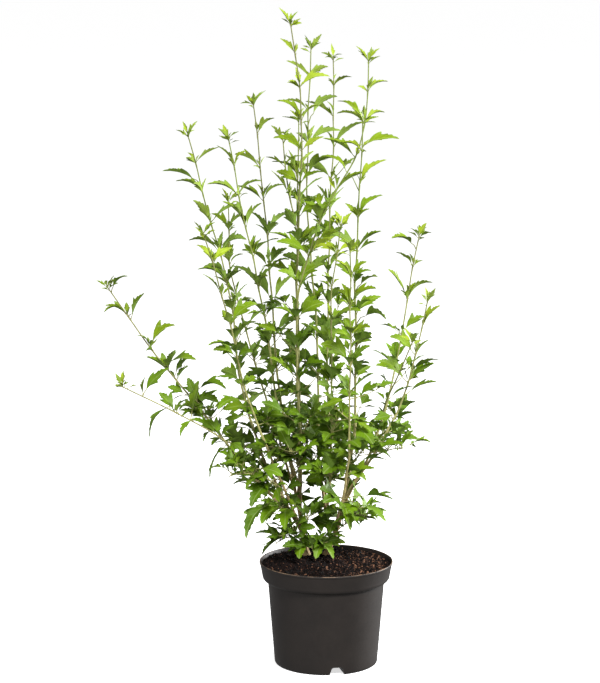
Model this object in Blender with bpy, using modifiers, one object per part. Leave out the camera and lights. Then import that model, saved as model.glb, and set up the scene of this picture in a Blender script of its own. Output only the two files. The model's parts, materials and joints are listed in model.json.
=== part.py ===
"""Hibiscus shrub in a nursery pot.

Metres, +Z up.  The origin is the middle of the pot's flat underside, on the pot's axis.
The shrub is two short trunks that fork low down into slender canes.  Each cane is one
tapering limb up to the height where its leafy shoot takes over; a shoot, or a low spray
of foliage on a side twig, is one solid grown by a seeded rule.
"""

import math
import random

import bmesh
import bpy
from mathutils import Matrix, Vector
from mathutils.bvhtree import BVHTree

MM = 0.001
GAP = 0.0003  # clearance between neighbouring solids
SEED = 2211

# ---- pot -------------------------------------------------------------------------------
POT_HEIGHT = 0.180
RIM_R = 0.115  # outside of the rim
COLLAR_R = 0.110  # outside of the collar at its lower edge
COLLAR_Z = 0.1550  # where the collar's lower edge begins to round in
BODY_TOP_R = 0.1005  # outside of the tapering body just under the collar
BODY_TOP_Z = 0.1460
BASE_R = 0.089  # outside of the body just above the base's rounding
BASE_ROUND = 0.004
WALL = 0.0016
FLOOR = 0.0024
POT_STEPS = 42

CHANNELS = 3  # drainage channels under the pot
CHANNEL_FIRST_DEG = -78.0  # azimuth of the first one
CHANNEL_IN_R = 0.042  # they run from here out through the wall
CHANNEL_H = 0.014
CHANNEL_W_FOOT = 0.028
CHANNEL_W_TOP = 0.018
CHANNEL_LOW_Z = -0.002  # their cutters start this far under the pot
DRAIN_R = 0.0045
DRAIN_AT_R = 0.066

# ---- compost ---------------------------------------------------------------------------
COMPOST_EDGE_Z = 0.1755
COMPOST_MOUND_Z = 0.1800
MOUND_R = 0.060
COMPOST_STEPS = POT_STEPS // 2  # its corners point at every other corner of the pot

# ---- limbs -----------------------------------------------------------------------------
TRUNK_FOOT_Z = COMPOST_MOUND_Z + GAP
FLARE_R = 0.0078  # a trunk's radius where it leaves the compost
FLARE_H = 0.016
NODE_PITCH = 0.055  # distance between a cane's leaf nodes
SPRAY_PITCH = 0.017  # the same on a low spray
ZIGZAG = 0.0011  # sideways step of a cane at each node
LIMB_STEP = 0.032
TIP_R = 0.0010
BRANCH_R = 0.0014
TIP_LEAVES = 0.018  # the topmost leaves rise this far above their stem
SHOOT_FROM_Z = 0.44  # canes hand over to their leafy shoots at this height

# ---- leaves ----------------------------------------------------------------------------
LEAF_FULL = 0.068  # the same from the third node down
LEAF_LOW = 0.092  # the same on the low sprays
LEAF_THICK = 0.0011
STALK_R = 0.0007
ROOT_R = 0.0005  # the stalk inside its twig
SMALL_LEAF = 0.045  # a leaf shorter than this is a plain wedge with no stalk
STALKED_LEAF = 0.078  # a leaf shorter than this narrows evenly into its twig
ROOT_UP = 0.0035  # leaves of one node stand this far apart, the first this far above its bend
OUT_OF_NODE = 0.0110  # from this far out a leaf keeps clear of its own mass's leaves
CLEAR = 0.0006  # a leaf this close to anything else is turned or left out
SIDE_AZIMUTH = {"L": 180.0, "R": 0.0, "F": -90.0, "K": 90.0}

# A trunk: foot (x, y), tip (x, y, z), radius above the flare, radius at the tip, in mm.
TRUNKS = {
    "trunk_left": ((-34, 42), (-46, 33, 264), 4.8, 4.1),
    "trunk_right": ((2, 40), (22, 24, 240), 5.4, 4.2),
}

# A cane, in mm: parent, height of its foot on the parent, height its topmost leaves reach,
# x at equal steps of height above the foot, y half way and at the tip, radius at the foot,
# and the side that each node's leaf takes from the tip down (Left, Right, Both, Front, bacK).
CANES = {
    "a": ("trunk_left", 264, 1122, (-45, -48, -50, -45, -43, -61), 14, -34, 3.6,
          "LRLBBRBLRBKR"),
    "l": ("trunk_right", 240, 966, (46, 50, 48, 53, 58), -20, -96, 3.1, "LRRLBRLFRB"),
    "g": ("trunk_left", 236, 975, (-69, -87, -97, -110, -126), 92, 146, 2.9, "RLBRBLRBLK"),
    "f": ("trunk_left", 222, 786, (-92, -137, -166, -203), -72, -150, 2.6, "BLRFLB"),
    "k": ("trunk_left", 244, 1063, (-45, -49, -48, -10, 57, 68), -46, -66, 2.7,
          "RBLRFBLRFLR"),
    "r": ("trunk_left", 232, 680, (-140, -217, -300, -371), 6, -24, 2.7, "LRBLRBK"),
    "c": ("trunk_left", 214, 927, (-110, -150, -166, -202, -237), 84, 78, 2.7, "RLRBLKRLB"),
    "d": ("cane_a", 300, 926, (-80, -97, -118, -144, -166), 42, 20, 2.4, "BBLRLBFRL"),
    "e": ("cane_g", 286, 796, (-94, -134, -167, -172), 168, 228, 2.4, "BKLRBLK"),
    "b": ("trunk_right", 200, 1072, (-12, -13, -20, -32, -31, -26), 78, 132, 2.9,
          "BLRRLKBLRLK"),
    "i": ("cane_b", 262, 1050, (4, 3, 5, 8, 14, 13), 160, 216, 2.5, "RLRLBKRLBKR"),
    "n": ("cane_b", 240, 796, (8, 9, 7, 22), -52, -112, 2.2, "BFRLFB"),
    "m": ("trunk_right", 208, 764, (35, 38, 38, 36), -108, -186, 2.4, "BRFLRF"),
    "p": ("cane_l", 262, 746, (86, 121, 141, 163), 104, 138, 2.6, "LBRKRL"),
    "q": ("cane_l", 284, 658, (86, 130, 152, 170), -8, -36, 2.6, "RLBRF"),
}

# A long side shoot, in mm: parent cane, foot height, tip height, x and y as above, sides.
SIDE_SHOOTS = {
    "s": ("cane_r", 352, 532, (-167, -210, -271, -340), -84, -150, 1.7, "BLFRL"),
    "t": ("cane_p", 398, 606, (97, 114, 124, 141), -60, -140, 1.6, "BRFR"),
}

# A branch inside shoot_a: foot height, tip height, x half way and at the tip, y likewise.
BRANCHES = {
    "shoot_a": [(742, 954, (-49, -47), (44, 66), "LBRB"), (752, 922, (-66, -74), (24, 40), "BLR")],
}

# A low spray, in mm: parent limb, height on it, reach of its twig (x, y, z), bow of the
# twig above the straight line, and droop of its leaves in degrees.
SPRAYS = [
    ("cane_r", 392, (-44, -34, 74), 6, 40),
    ("cane_f", 300, (-96, -52, 38), 16, 60),
    ("cane_f", 262, (-48, -40, -8), 14, 95),
    ("trunk_left", 204, (-50, -46, 6), 10, 70),
    ("trunk_left", 192, (14, -62, 8), 8, 60),
    ("cane_m", 246, (52, -34, 12), 10, 80),
    ("cane_k", 318, (-18, -74, 66), 12, 60),
    ("cane_n", 300, (4, -66, 40), 12, 70),
    ("cane_l", 322, (26, -64, 58), 12, 65),
    ("cane_q", 352, (58, -36, 30), 8, 60),
    ("cane_p", 356, (54, 44, 52), 8, 50),
    ("cane_b", 330, (-12, 78, 60), 8, 45),
    ("cane_g", 344, (12, 82, 50), 8, 50),
    ("cane_c", 330, (-62, 48, 40), 8, 60),
    ("cane_d", 370, (-36, -44, 60), 6, 45),
    ("cane_i", 330, (56, 66, 50), 8, 50),
    ("cane_e", 352, (-40, 68, 30), 8, 60),
    ("trunk_right", 218, (52, 44, 14), 10, 70),
    ("cane_c", 268, (-46, 62, 4), 12, 80),
    ("cane_k", 384, (24, -56, 56), 12, 65),
    ("cane_n", 386, (10, -52, 54), 12, 65),
    ("trunk_left", 232, (10, -70, 26), 12, 75),
]


def stations(values, t):
    """A smooth value at t (0..1) through values that stand at equal steps."""
    last = len(values) - 1
    where = min(max(t, 0.0), 1.0) * last
    i = min(int(where), last - 1)
    u = where - i
    p1, p2 = values[i], values[i + 1]
    p0 = values[i - 1] if i > 0 else 2 * p1 - p2
    p3 = values[i + 2] if i + 2 <= last else 2 * p2 - p1
    a = 2 * p1
    b = p2 - p0
    c = 2 * p0 - 5 * p1 + 4 * p2 - p3
    d = 3 * p1 - p0 - 3 * p2 + p3
    return 0.5 * (a + b * u + c * u * u + d * u * u * u)


class Limb:
    """The centre line and radius of a trunk or cane, by height."""

    def __init__(self, foot, tip_z, xs, ys, r_foot, r_tip):
        self.z0 = foot.z
        self.z1 = tip_z
        self.xs = [foot.x] + xs
        self.ys = [foot.y] + ys
        self.r_foot = r_foot
        self.r_tip = r_tip

    def at(self, z):
        t = (z - self.z0) / (self.z1 - self.z0)
        return Vector((stations(self.xs, t), stations(self.ys, t), z))

    def radius(self, z):
        t = min(max((z - self.z0) / (self.z1 - self.z0), 0.0), 1.0)
        return self.r_tip + (self.r_foot - self.r_tip) * (1 - t) ** 1.5


def row_limb(limbs, row):
    """The Limb that a row of CANES or SIDE_SHOOTS describes."""
    parent, foot_z, tip_z, xs, y_mid, y_tip, r_foot = row[:7]
    foot = limbs[parent].at(foot_z * MM)
    xs = [x * MM for x in xs]
    ys = [y_mid * MM, y_tip * MM]
    return Limb(foot, tip_z * MM - TIP_LEAVES, xs, ys, r_foot * MM, TIP_R)


def limb_table():
    """Every trunk and cane as a Limb, parents before the canes that leave them."""
    limbs = {}
    for name, (foot, tip, r_foot, r_tip) in TRUNKS.items():
        start = Vector((foot[0] * MM, foot[1] * MM, TRUNK_FOOT_Z))
        xs, ys = [tip[0] * MM], [tip[1] * MM]
        limbs[name] = Limb(start, tip[2] * MM, xs, ys, r_foot * MM, r_tip * MM)
    for letter, row in CANES.items():
        limbs["cane_" + letter] = row_limb(limbs, row)
    return limbs


def fresh_scene():
    for obj in list(bpy.data.objects):
        bpy.data.objects.remove(obj, do_unlink=True)
    parts = bpy.data.collections.new("hibiscus_shrub")
    cutters = bpy.data.collections.new("cutters")
    bpy.context.scene.collection.children.link(parts)
    bpy.context.scene.collection.children.link(cutters)
    return parts, cutters


def material(name, colour, roughness):
    mat = bpy.data.materials.new(name)
    mat.use_nodes = True
    shader = mat.node_tree.nodes["Principled BSDF"]
    shader.inputs["Base Color"].default_value = (*colour, 1.0)
    shader.inputs["Roughness"].default_value = roughness
    shader.inputs["Metallic"].default_value = 0.0
    return mat


def new_object(name, mesh, collection):
    obj = bpy.data.objects.new(name, mesh)
    collection.objects.link(obj)
    return obj


def as_cutter(obj):
    obj.hide_render = True
    obj.display_type = "WIRE"


def evaluated_mesh(obj):
    """The object's mesh as its modifiers leave it."""
    graph = bpy.context.evaluated_depsgraph_get()
    return bpy.data.meshes.new_from_object(obj.evaluated_get(graph))


def apply_modifiers(obj):
    mesh = evaluated_mesh(obj)
    obj.modifiers.clear()
    old = obj.data
    obj.data = mesh
    bpy.data.meshes.remove(old)


def boolean(obj, operation, other, solver="EXACT"):
    """Adds a Boolean modifier that takes an object or a whole collection."""
    mod = obj.modifiers.new(operation.title(), "BOOLEAN")
    mod.operation = operation
    mod.solver = solver
    if isinstance(other, bpy.types.Collection):
        mod.operand_type = "COLLECTION"
        mod.collection = other
    else:
        mod.object = other
    return mod


def turned(name, profile, steps, collection):
    """A profile of (radius, height) points turned about Z with a Screw modifier."""
    mesh = bpy.data.meshes.new(name)
    edges = [(i, i + 1) for i in range(len(profile) - 1)]
    mesh.from_pydata([(r, 0.0, z) for r, z in profile], edges, [])
    obj = new_object(name, mesh, collection)
    screw = obj.modifiers.new("Turn", "SCREW")
    screw.axis = "Z"
    screw.angle = 2 * math.pi
    screw.steps = steps
    screw.render_steps = steps
    screw.use_merge_vertices = True
    screw.merge_threshold = 0.00002
    screw.use_normal_calculate = True
    return obj


def shade_smooth(obj, degrees=40):
    obj.data.shade_smooth()
    obj.data.set_sharp_from_angle(angle=math.radians(degrees))


# ---- pot and compost -------------------------------------------------------------------


def wall_r(z):
    """The pot's outer radius at a height."""
    if z >= COLLAR_Z:
        t = (z - COLLAR_Z) / (POT_HEIGHT - COLLAR_Z)
        return COLLAR_R + (RIM_R - COLLAR_R) * t
    if z >= BODY_TOP_Z:
        t = (COLLAR_Z - z) / (COLLAR_Z - BODY_TOP_Z)
        return BODY_TOP_R + (COLLAR_R - BODY_TOP_R) * math.sqrt(max(0.0, 1 - t * t))
    t = (z - BASE_ROUND) / (BODY_TOP_Z - BASE_ROUND)
    return BASE_R + (BODY_TOP_R - BASE_R) * t


def pot_profile():
    """Floor middle, up inside, over the rim, down outside, underside middle."""
    outside = [(RIM_R - 0.0006, POT_HEIGHT), (RIM_R, POT_HEIGHT - 0.0008)]
    outside += [(RIM_R - 0.0002, POT_HEIGHT - 0.0034), (RIM_R - 0.0009, POT_HEIGHT - 0.0042)]
    outside.append((COLLAR_R, COLLAR_Z))
    for i in range(1, 4):
        angle = math.radians(90 * i / 3)
        z = COLLAR_Z - (COLLAR_Z - BODY_TOP_Z) * math.sin(angle)
        outside.append((BODY_TOP_R + (COLLAR_R - BODY_TOP_R) * math.cos(angle), z))
    outside.append((BASE_R, BASE_ROUND))
    outside.append((BASE_R - 0.3 * BASE_ROUND, 0.25 * BASE_ROUND))
    outside.append((BASE_R - BASE_ROUND, 0.0))
    outside.append((0.0, 0.0))
    inside = [(0.0, FLOOR), (BASE_R - BASE_ROUND, FLOOR), (BASE_R - WALL, FLOOR + 0.003)]
    inside += [(BODY_TOP_R - WALL, BODY_TOP_Z - 0.001)]
    inside += [(COLLAR_R - WALL - 0.0012, COLLAR_Z - 0.0022)]
    inside += [(RIM_R - WALL - 0.0006, POT_HEIGHT)]
    return inside + outside


def radial_bar(name, inner_r, outer_r, z_foot, height, w_foot, w_top, azimuth, collection):
    """A bar that runs outward; outer_r is its end's (foot, top) radius.

    Its sides lean in evenly from w_foot at CHANNEL_LOW_Z to w_top at its height, wherever
    it starts.
    """
    bm = bmesh.new()
    bmesh.ops.create_cube(bm, size=1.0)
    start = (z_foot - CHANNEL_LOW_Z) / (height - CHANNEL_LOW_Z)
    w_start = w_foot + (w_top - w_foot) * start
    for v in bm.verts:
        high = v.co.z > 0
        half = w_top / 2 if high else w_start / 2
        x = outer_r[high] if v.co.x > 0 else inner_r
        v.co = Vector((x, half if v.co.y > 0 else -half, height if high else z_foot))
    corners = [e for e in bm.edges if all(v.co.z > 0 for v in e.verts)]
    corners = [e for e in corners if abs(e.verts[0].co.y - e.verts[1].co.y) < 1e-6]
    bmesh.ops.bevel(bm, geom=corners, offset=0.003, segments=2, profile=0.5,
                    affect="EDGES", material=-1)
    bmesh.ops.rotate(bm, verts=bm.verts, matrix=Matrix.Rotation(azimuth, 3, "Z"))
    mesh = bpy.data.meshes.new(name)
    bm.to_mesh(mesh)
    bm.free()
    return new_object(name, mesh, collection)


def channel_azimuths():
    return [math.radians(CHANNEL_FIRST_DEG + 360 * i / CHANNELS) for i in range(CHANNELS)]


def make_channels(kind, grow, reach, z_foot, cutters):
    """The channels, or their roofs when grown by the thickness of the plastic."""
    group = bpy.data.collections.new(kind)
    cutters.children.link(group)
    for i, azimuth in enumerate(channel_azimuths()):
        bar = radial_bar(f"{kind}_{i + 1}", CHANNEL_IN_R - grow, reach, z_foot, CHANNEL_H + grow,
                         CHANNEL_W_FOOT + 2 * grow, CHANNEL_W_TOP + 2 * grow, azimuth, group)
        as_cutter(bar)
    return group


def make_pot(parts, cutters, mat):
    pot = turned("pot", pot_profile(), POT_STEPS, parts)
    in_wall = (BASE_R - WALL - 0.0002, wall_r(CHANNEL_H) - WALL * 0.75)
    boolean(pot, "UNION", make_channels("channel_roof", WALL, in_wall, FLOOR * 0.4, cutters))
    boolean(pot, "DIFFERENCE", make_channels("channel", 0.0, (RIM_R, RIM_R), CHANNEL_LOW_Z, cutters))
    drains = bpy.data.collections.new("drain")
    cutters.children.link(drains)
    for i, azimuth in enumerate(channel_azimuths()):
        at = (DRAIN_AT_R * math.cos(azimuth), DRAIN_AT_R * math.sin(azimuth), CHANNEL_H)
        bm = bmesh.new()
        bmesh.ops.create_cone(bm, cap_ends=True, segments=10, radius1=DRAIN_R, radius2=DRAIN_R,
                              depth=0.012, matrix=Matrix.Translation(at))
        mesh = bpy.data.meshes.new(f"drain_{i + 1}")
        bm.to_mesh(mesh)
        bm.free()
        as_cutter(new_object(f"drain_{i + 1}", mesh, drains))
    boolean(pot, "DIFFERENCE", drains)
    apply_modifiers(pot)
    shade_smooth(pot)
    pot.data.materials.clear()
    pot.data.materials.append(mat)
    return pot


def make_compost(parts, cutters, mat):
    """A plug that fills the pot, clear of its wall, its floor and the channel roofs."""
    room = WALL + GAP
    profile = [(0.0, COMPOST_MOUND_Z), (MOUND_R, COMPOST_MOUND_Z)]
    profile += [(MOUND_R + 0.020, COMPOST_MOUND_Z - 0.0025)]
    edge_in = 0.0016
    profile += [(wall_r(COMPOST_EDGE_Z) - room - edge_in, COMPOST_EDGE_Z)]
    profile += [(COLLAR_R - room - 0.0030, COLLAR_Z)]
    profile += [(BODY_TOP_R - room - 0.0006, BODY_TOP_Z + 0.001)]
    profile += [(BASE_R - room - 0.0006, FLOOR + 0.006), (BASE_R - room - 0.0066, FLOOR + GAP)]
    profile += [(0.0, FLOOR + GAP)]
    compost = turned("compost", profile, COMPOST_STEPS, parts)
    cut = make_channels("channel_room", WALL + GAP, (RIM_R, RIM_R), CHANNEL_LOW_Z, cutters)
    boolean(compost, "DIFFERENCE", cut)
    apply_modifiers(compost)
    shade_smooth(compost)
    compost.data.materials.clear()
    compost.data.materials.append(mat)
    return compost


# ---- limbs -----------------------------------------------------------------------------


def frame_at(direction):
    """A sideways vector and a normal, both square to the direction."""
    side = direction.cross(Vector((0, 0, 1)))
    if side.length < 1e-6:
        side = Vector((1, 0, 0))
    side.normalize()
    return side, side.cross(direction).normalized()


def zigzag(index):
    """The sideways step of a cane's node, which turns by a golden angle."""
    angle = 2.39996 * index
    return Vector((math.cos(angle), math.sin(angle), 0.0)) * ZIGZAG


def heights(z0, z1, step):
    count = max(1, round((z1 - z0) / step))
    return [z0 + (z1 - z0) * i / count for i in range(count + 1)]


def tube_curve(name, points, radii, collection, resolution):
    """A curve object through the points, round, with capped ends."""
    curve = bpy.data.curves.new(name, "CURVE")
    curve.dimensions = "3D"
    curve.bevel_depth = 1.0
    curve.bevel_resolution = resolution
    curve.use_fill_caps = True
    spline = curve.splines.new("POLY")
    spline.points.add(len(points) - 1)
    for point, place, radius in zip(spline.points, points, radii):
        point.co = (*place, 1.0)
        point.radius = radius
    return new_object(name, curve, collection)


def tube(name, points, radii, collection, resolution=2):
    """The same as a mesh, with its caps welded on."""
    source = tube_curve(name + "_curve", points, radii, collection, resolution)
    mesh = evaluated_mesh(source)
    mesh.name = name
    bm = bmesh.new()
    bm.from_mesh(mesh)
    bmesh.ops.remove_doubles(bm, verts=bm.verts, dist=0.00001)
    bmesh.ops.recalc_face_normals(bm, faces=bm.faces)
    bm.to_mesh(mesh)
    bm.free()
    obj = new_object(name, mesh, collection)
    obj.matrix_world = source.matrix_world
    bpy.data.objects.remove(source, do_unlink=True)
    return obj


def cane_course(limb, r_start=None):
    """Centre points and radii of a cane, from its foot to where its shoot takes over."""
    zs = heights(limb.z0, SHOOT_FROM_Z, LIMB_STEP)
    points = [limb.at(z) for z in zs]
    for i in range(1, len(points) - 1):
        points[i] += zigzag(i)
    radii = [limb.radius(z) for z in zs]
    if r_start:
        radii[0] = r_start
    return points, radii


def trunk_course(limb):
    """A trunk's course: a flat foot, its root flare, then an even taper to its fork."""
    points, radii = [], []
    for k in range(5):
        z = limb.z0 + FLARE_H * k / 4
        extra = (FLARE_R - limb.r_foot) * (1 - k / 4) ** 2
        points.append(limb.at(z))
        radii.append(limb.radius(z) + extra)
    for z in heights(limb.z0 + FLARE_H, limb.z1, 0.018)[1:]:
        points.append(limb.at(z))
        radii.append(limb.radius(z))
    return points, radii


def lengthened(course, start, end):
    """The course carried on in a straight line at either end."""
    points, radii = course
    points = [p.copy() for p in points]
    points[0] -= (points[1] - points[0]).normalized() * start
    points[-1] += (points[-1] - points[-2]).normalized() * end
    return points, list(radii)


def level_cut(obj, z, keep_above):
    """Cuts a limb level at a height, closes the cut, and keeps one side of it."""
    bm = bmesh.new()
    bm.from_mesh(obj.data)
    cut = bmesh.ops.bisect_plane(bm, geom=list(bm.verts) + list(bm.edges) + list(bm.faces),
                                 plane_co=(0, 0, z), plane_no=(0, 0, 1),
                                 clear_inner=keep_above, clear_outer=not keep_above)
    edges = [g for g in cut["geom_cut"] if isinstance(g, bmesh.types.BMEdge)]
    bmesh.ops.contextual_create(bm, geom=edges)
    bmesh.ops.recalc_face_normals(bm, faces=bm.faces)
    bm.to_mesh(obj.data)
    bm.free()


def keep_largest(obj):
    """Drops every loose scrap, so that one body is left."""
    bm = bmesh.new()
    bm.from_mesh(obj.data)
    bmesh.ops.remove_doubles(bm, verts=bm.verts, dist=0.0000003)
    groups = islands(bm)
    for group in groups[1:]:
        bmesh.ops.delete(bm, geom=list(group), context="VERTS")
    bm.to_mesh(obj.data)
    bm.free()


def islands(bm):
    """The mesh's connected sets of vertices, the largest first."""
    left = set(bm.verts)
    groups = []
    while left:
        first = left.pop()
        group, queue = {first}, [first]
        while queue:
            v = queue.pop()
            for e in v.link_edges:
                w = e.other_vert(v)
                if w in left:
                    left.discard(w)
                    group.add(w)
                    queue.append(w)
        groups.append(group)
    return sorted(groups, key=len, reverse=True)


def make_limbs(parts, cutters, limbs, bark):
    """Trunks and canes, each cane cut clear of its parent and of its earlier siblings."""
    made, courses, sides = {}, {}, {}
    for name in TRUNKS:
        courses[name] = trunk_course(limbs[name])
        sides[name] = 4
        made[name] = tube(name, *lengthened(courses[name], 0.004, 0.004), parts, sides[name])
        level_cut(made[name], limbs[name].z0, keep_above=True)
        level_cut(made[name], limbs[name].z1, keep_above=False)
    siblings = {}
    for letter, row in CANES.items():
        name, parent = "cane_" + letter, row[0]
        limb = limbs[name]
        leads = abs(limb.z0 - limbs[parent].z1) < 1e-6
        courses[name] = cane_course(limb, limbs[parent].r_tip if leads else None)
        sides[name] = 1
        start = 0.004 if leads else 0.0
        cane = tube(name, *lengthened(courses[name], start, 0.004), parts, sides[name])
        if leads:
            level_cut(cane, limb.z0 + GAP, keep_above=True)
        level_cut(cane, SHOOT_FROM_Z, keep_above=False)
        near = siblings.setdefault(parent, [])
        for other in ([] if leads else [parent]) + near:
            points, radii = lengthened(courses[other], GAP, GAP)
            radii = [r + GAP * 1.2 for r in radii]
            cutter = tube(f"{name}_by_{other}", points, radii, cutters, sides[other])
            as_cutter(cutter)
            boolean(cane, "DIFFERENCE", cutter)
        apply_modifiers(cane)
        keep_largest(cane)
        near.append(name)
        made[name] = cane
    for obj in made.values():
        shade_smooth(obj, 60)
        obj.data.materials.clear()
        obj.data.materials.append(bark)
    return made


# ---- leaves and masses -----------------------------------------------------------------


def toward(azimuth, angle):
    """The direction at an azimuth and an angle above the horizontal."""
    flat = math.cos(angle)
    return Vector((flat * math.cos(azimuth), flat * math.sin(azimuth), math.sin(angle)))


def blade_sections(root, azimuth, lift, length, droop, roll, grow=0.0):
    """Three-sided sections of a three-lobed leaf (left, right and keel points), and its tip.

    A long leaf has a stalk, which rises at an angle of lift above the horizontal, and a
    flat blade turned down from it by droop.  A shorter one narrows evenly into its twig
    and is turned down a third as far.
    """
    stalked = length >= STALKED_LEAF
    stalk_way = toward(azimuth, lift)
    blade_way = toward(azimuth, lift - (droop if stalked else 0.35 * droop))
    stalk_end = root + stalk_way * (0.24 * length if stalked else 0.0)
    blade = length * (0.76 if stalked else 1.0)
    sections = [(root, blade_way, ROOT_R, ROOT_R, 0.0)]
    if stalked:
        sections[0] = (root, stalk_way, ROOT_R, ROOT_R, 0.0)
        sections.append((stalk_end, (stalk_way + blade_way).normalized(), STALK_R, STALK_R, 0.0))
    if length < SMALL_LEAF:
        lobes = [(0.46, 0.24, 0.8, 0.0)]
    elif stalked:
        lobes = [(0.34, 0.38, 1.0, 0.14), (0.50, 0.17, 0.8, 0.0)]
    else:
        lobes = [(0.46, 0.29, 1.0, 0.12), (0.60, 0.13, 0.8, 0.0)]
    for at, half, thick, forward in lobes:
        place = stalk_end + blade_way * at * blade
        sections.append((place, blade_way, half * blade, LEAF_THICK * thick, forward * blade))
    rings = []
    for place, way, half, thick, forward in sections:
        side, normal = frame_at(way)
        turn = Matrix.Rotation(roll, 3, way)
        side, normal = turn @ side, turn @ normal
        edge = place + way * forward + normal * grow
        side = side * (half + grow)
        rings.append((edge - side, edge + side, place - normal * (thick + grow)))
    return rings, stalk_end + blade_way * (blade + grow)


def grow_blade(rings, tip):
    """A closed mesh lofted through the three-sided sections to a point at the tip."""
    bm = bmesh.new()
    last = [bm.verts.new(p) for p in rings[0]]
    bm.faces.new(last)
    for ring in rings[1:]:
        here = [bm.verts.new(p) for p in ring]
        for i in range(3):
            j = (i + 1) % 3
            bm.faces.new((last[i], last[j], here[j]))
            bm.faces.new((last[i], here[j], here[i]))
        last = here
    point = bm.verts.new(tip)
    for i in range(3):
        bm.faces.new((last[i], last[(i + 1) % 3], point))
    bmesh.ops.recalc_face_normals(bm, faces=bm.faces)
    return bm


class Room:
    """What stands already, so that a new twig or leaf can keep clear of it."""

    def __init__(self):
        self.items = []

    def add(self, owner, bm):
        places = [v.co for v in bm.verts]
        low = Vector([min(p[k] for p in places) for k in range(3)])
        high = Vector([max(p[k] for p in places) for k in range(3)])
        self.items.append((owner, low, high, BVHTree.FromBMesh(bm)))

    def add_object(self, owner, obj):
        bm = bmesh.new()
        bm.from_mesh(obj.data)
        bm.transform(obj.matrix_world)
        self.add(owner, bm)
        bm.free()

    def free(self, bm, skip=(), only=None):
        places = [v.co for v in bm.verts]
        low = [min(p[k] for p in places) for k in range(3)]
        high = [max(p[k] for p in places) for k in range(3)]
        tree = None
        for owner, item_low, item_high, item_tree in self.items:
            if owner in skip or (only and owner != only):
                continue
            if any(high[k] < item_low[k] or low[k] > item_high[k] for k in range(3)):
                continue
            if tree is None:
                tree = BVHTree.FromBMesh(bm)
            if tree.overlap(item_tree):
                return False
        return True


def side_azimuth(letter, rng):
    return math.radians(SIDE_AZIMUTH[letter] + rng.uniform(-34, 34))


def node_leaves(letter, rank, full, rng):
    """(azimuth, lift, length, droop) of the leaves at one node, the rank counted from the tip."""
    size = min(1.0, 0.52 + 0.24 * rank) * full * rng.uniform(0.86, 1.12)
    sides = ["L", "R"] if letter == "B" else [letter]
    leaves = []
    for k, side in enumerate(sides):
        lift = math.radians(rng.uniform(36, 64))
        droop = math.radians(rng.uniform(50, 125))
        leaves.append((side_azimuth(side, rng), lift, size * (1.0 - 0.18 * k), droop))
    if rng.random() < 0.45:
        azimuth = leaves[0][0] + math.radians(rng.choice((-1, 1)) * rng.uniform(80, 150))
        lift = math.radians(rng.uniform(48, 74))
        leaves.append((azimuth, lift, size * rng.uniform(0.42, 0.62), math.radians(35)))
    return leaves


def tip_leaves(full, rng):
    """The small upright leaves round a shoot's tip."""
    start = rng.uniform(0, 360)
    leaves = []
    for k in range(3):
        azimuth = math.radians(start + 130 * k + rng.uniform(-20, 20))
        length = full * (0.50 - 0.09 * k) * rng.uniform(0.9, 1.1)
        leaves.append((azimuth, math.radians(62 - 8 * k), length, math.radians(30)))
    return leaves


def past_node(rings, tip):
    """A leaf without its root, where the leaves of one node stand close."""
    share = min(0.8, OUT_OF_NODE / (rings[1][2] - rings[0][2]).length)
    start = [p.lerp(q, share) for p, q in zip(rings[0], rings[1])]
    return grow_blade([start] + rings[1:], tip)


def place_leaf(root, leaf, owner, room, group, mat):
    """Adds a leaf where it has room, turned aside or made smaller if it must be."""
    azimuth, lift, length, droop = leaf
    roll = 0.9 * math.sin(40 * azimuth)
    for turn, scale in ((0, 1.0), (24, 1.0), (-24, 1.0), (50, 0.9), (-50, 0.9), (80, 0.7), (-80, 0.7)):
        angle = azimuth + math.radians(turn)
        rings, tip = blade_sections(root, angle, lift, length * scale, droop, roll, grow=CLEAR)
        own = (owner, owner + "_stem")
        near = grow_blade(rings, tip)
        far = past_node(rings, tip)
        clear = room.free(near, skip=own) and room.free(far, only=owner)
        near.free()
        far.free()
        if not clear:
            continue
        rings, tip = blade_sections(root, angle, lift, length * scale, droop, roll)
        bm = grow_blade(rings, tip)
        room.add(owner, bm)
        mesh = bpy.data.meshes.new(owner + "_leaf")
        bm.to_mesh(mesh)
        bm.free()
        mesh.materials.append(mat)
        new_object(owner + "_leaf", mesh, group)
        return True
    return False


class Mass:
    """One mass of foliage: its stem, what is fused to it, and where its leaves grow."""

    def __init__(self, name):
        self.name = name
        self.stem = None
        self.twigs = []
        self.nodes = []  # (place, direction onward, side, rank from the tip, leaf length)
        self.tips = []  # (place, direction onward, leaf length)


def shoot_nodes(mass, limb, z0, sides, full):
    """Node places down a shoot from its tip to its foot, and the stem through them."""
    count = max(2, round((limb.z1 - z0) / NODE_PITCH))
    points, radii = [], []
    for i in range(count + 1):
        z = z0 + (limb.z1 - z0) * i / count
        place = limb.at(z)
        if 0 < i < count:
            place += zigzag(i)
        points.append(place)
        radii.append(limb.radius(z))
    for i in range(1, count):
        rank = count - i - 1
        along = (points[i + 1] - points[i]).normalized()
        mass.nodes.append((points[i], along, sides[rank % len(sides)], rank, full))
    mass.tips.append((points[-1], (points[-1] - points[-2]).normalized(), full))
    return points, radii


def make_shoot(name, limb, z0, sides, parts):
    mass = Mass(name)
    course = shoot_nodes(mass, limb, z0, sides, LEAF_FULL)
    mass.stem = tube(name, *lengthened(course, 0.003, 0.0), parts, resolution=0)
    level_cut(mass.stem, z0, keep_above=True)
    for foot_z, tip_z, xs, ys, letters in BRANCHES.get(name, []):
        foot = limb.at(foot_z * MM)
        xs, ys = [x * MM for x in xs], [y * MM for y in ys]
        branch = Limb(foot, tip_z * MM - TIP_LEAVES, xs, ys, BRANCH_R, TIP_R)
        points, radii = shoot_nodes(mass, branch, foot.z, letters, LEAF_FULL)
        mass.twigs.append((points, radii))
    return mass


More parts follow.
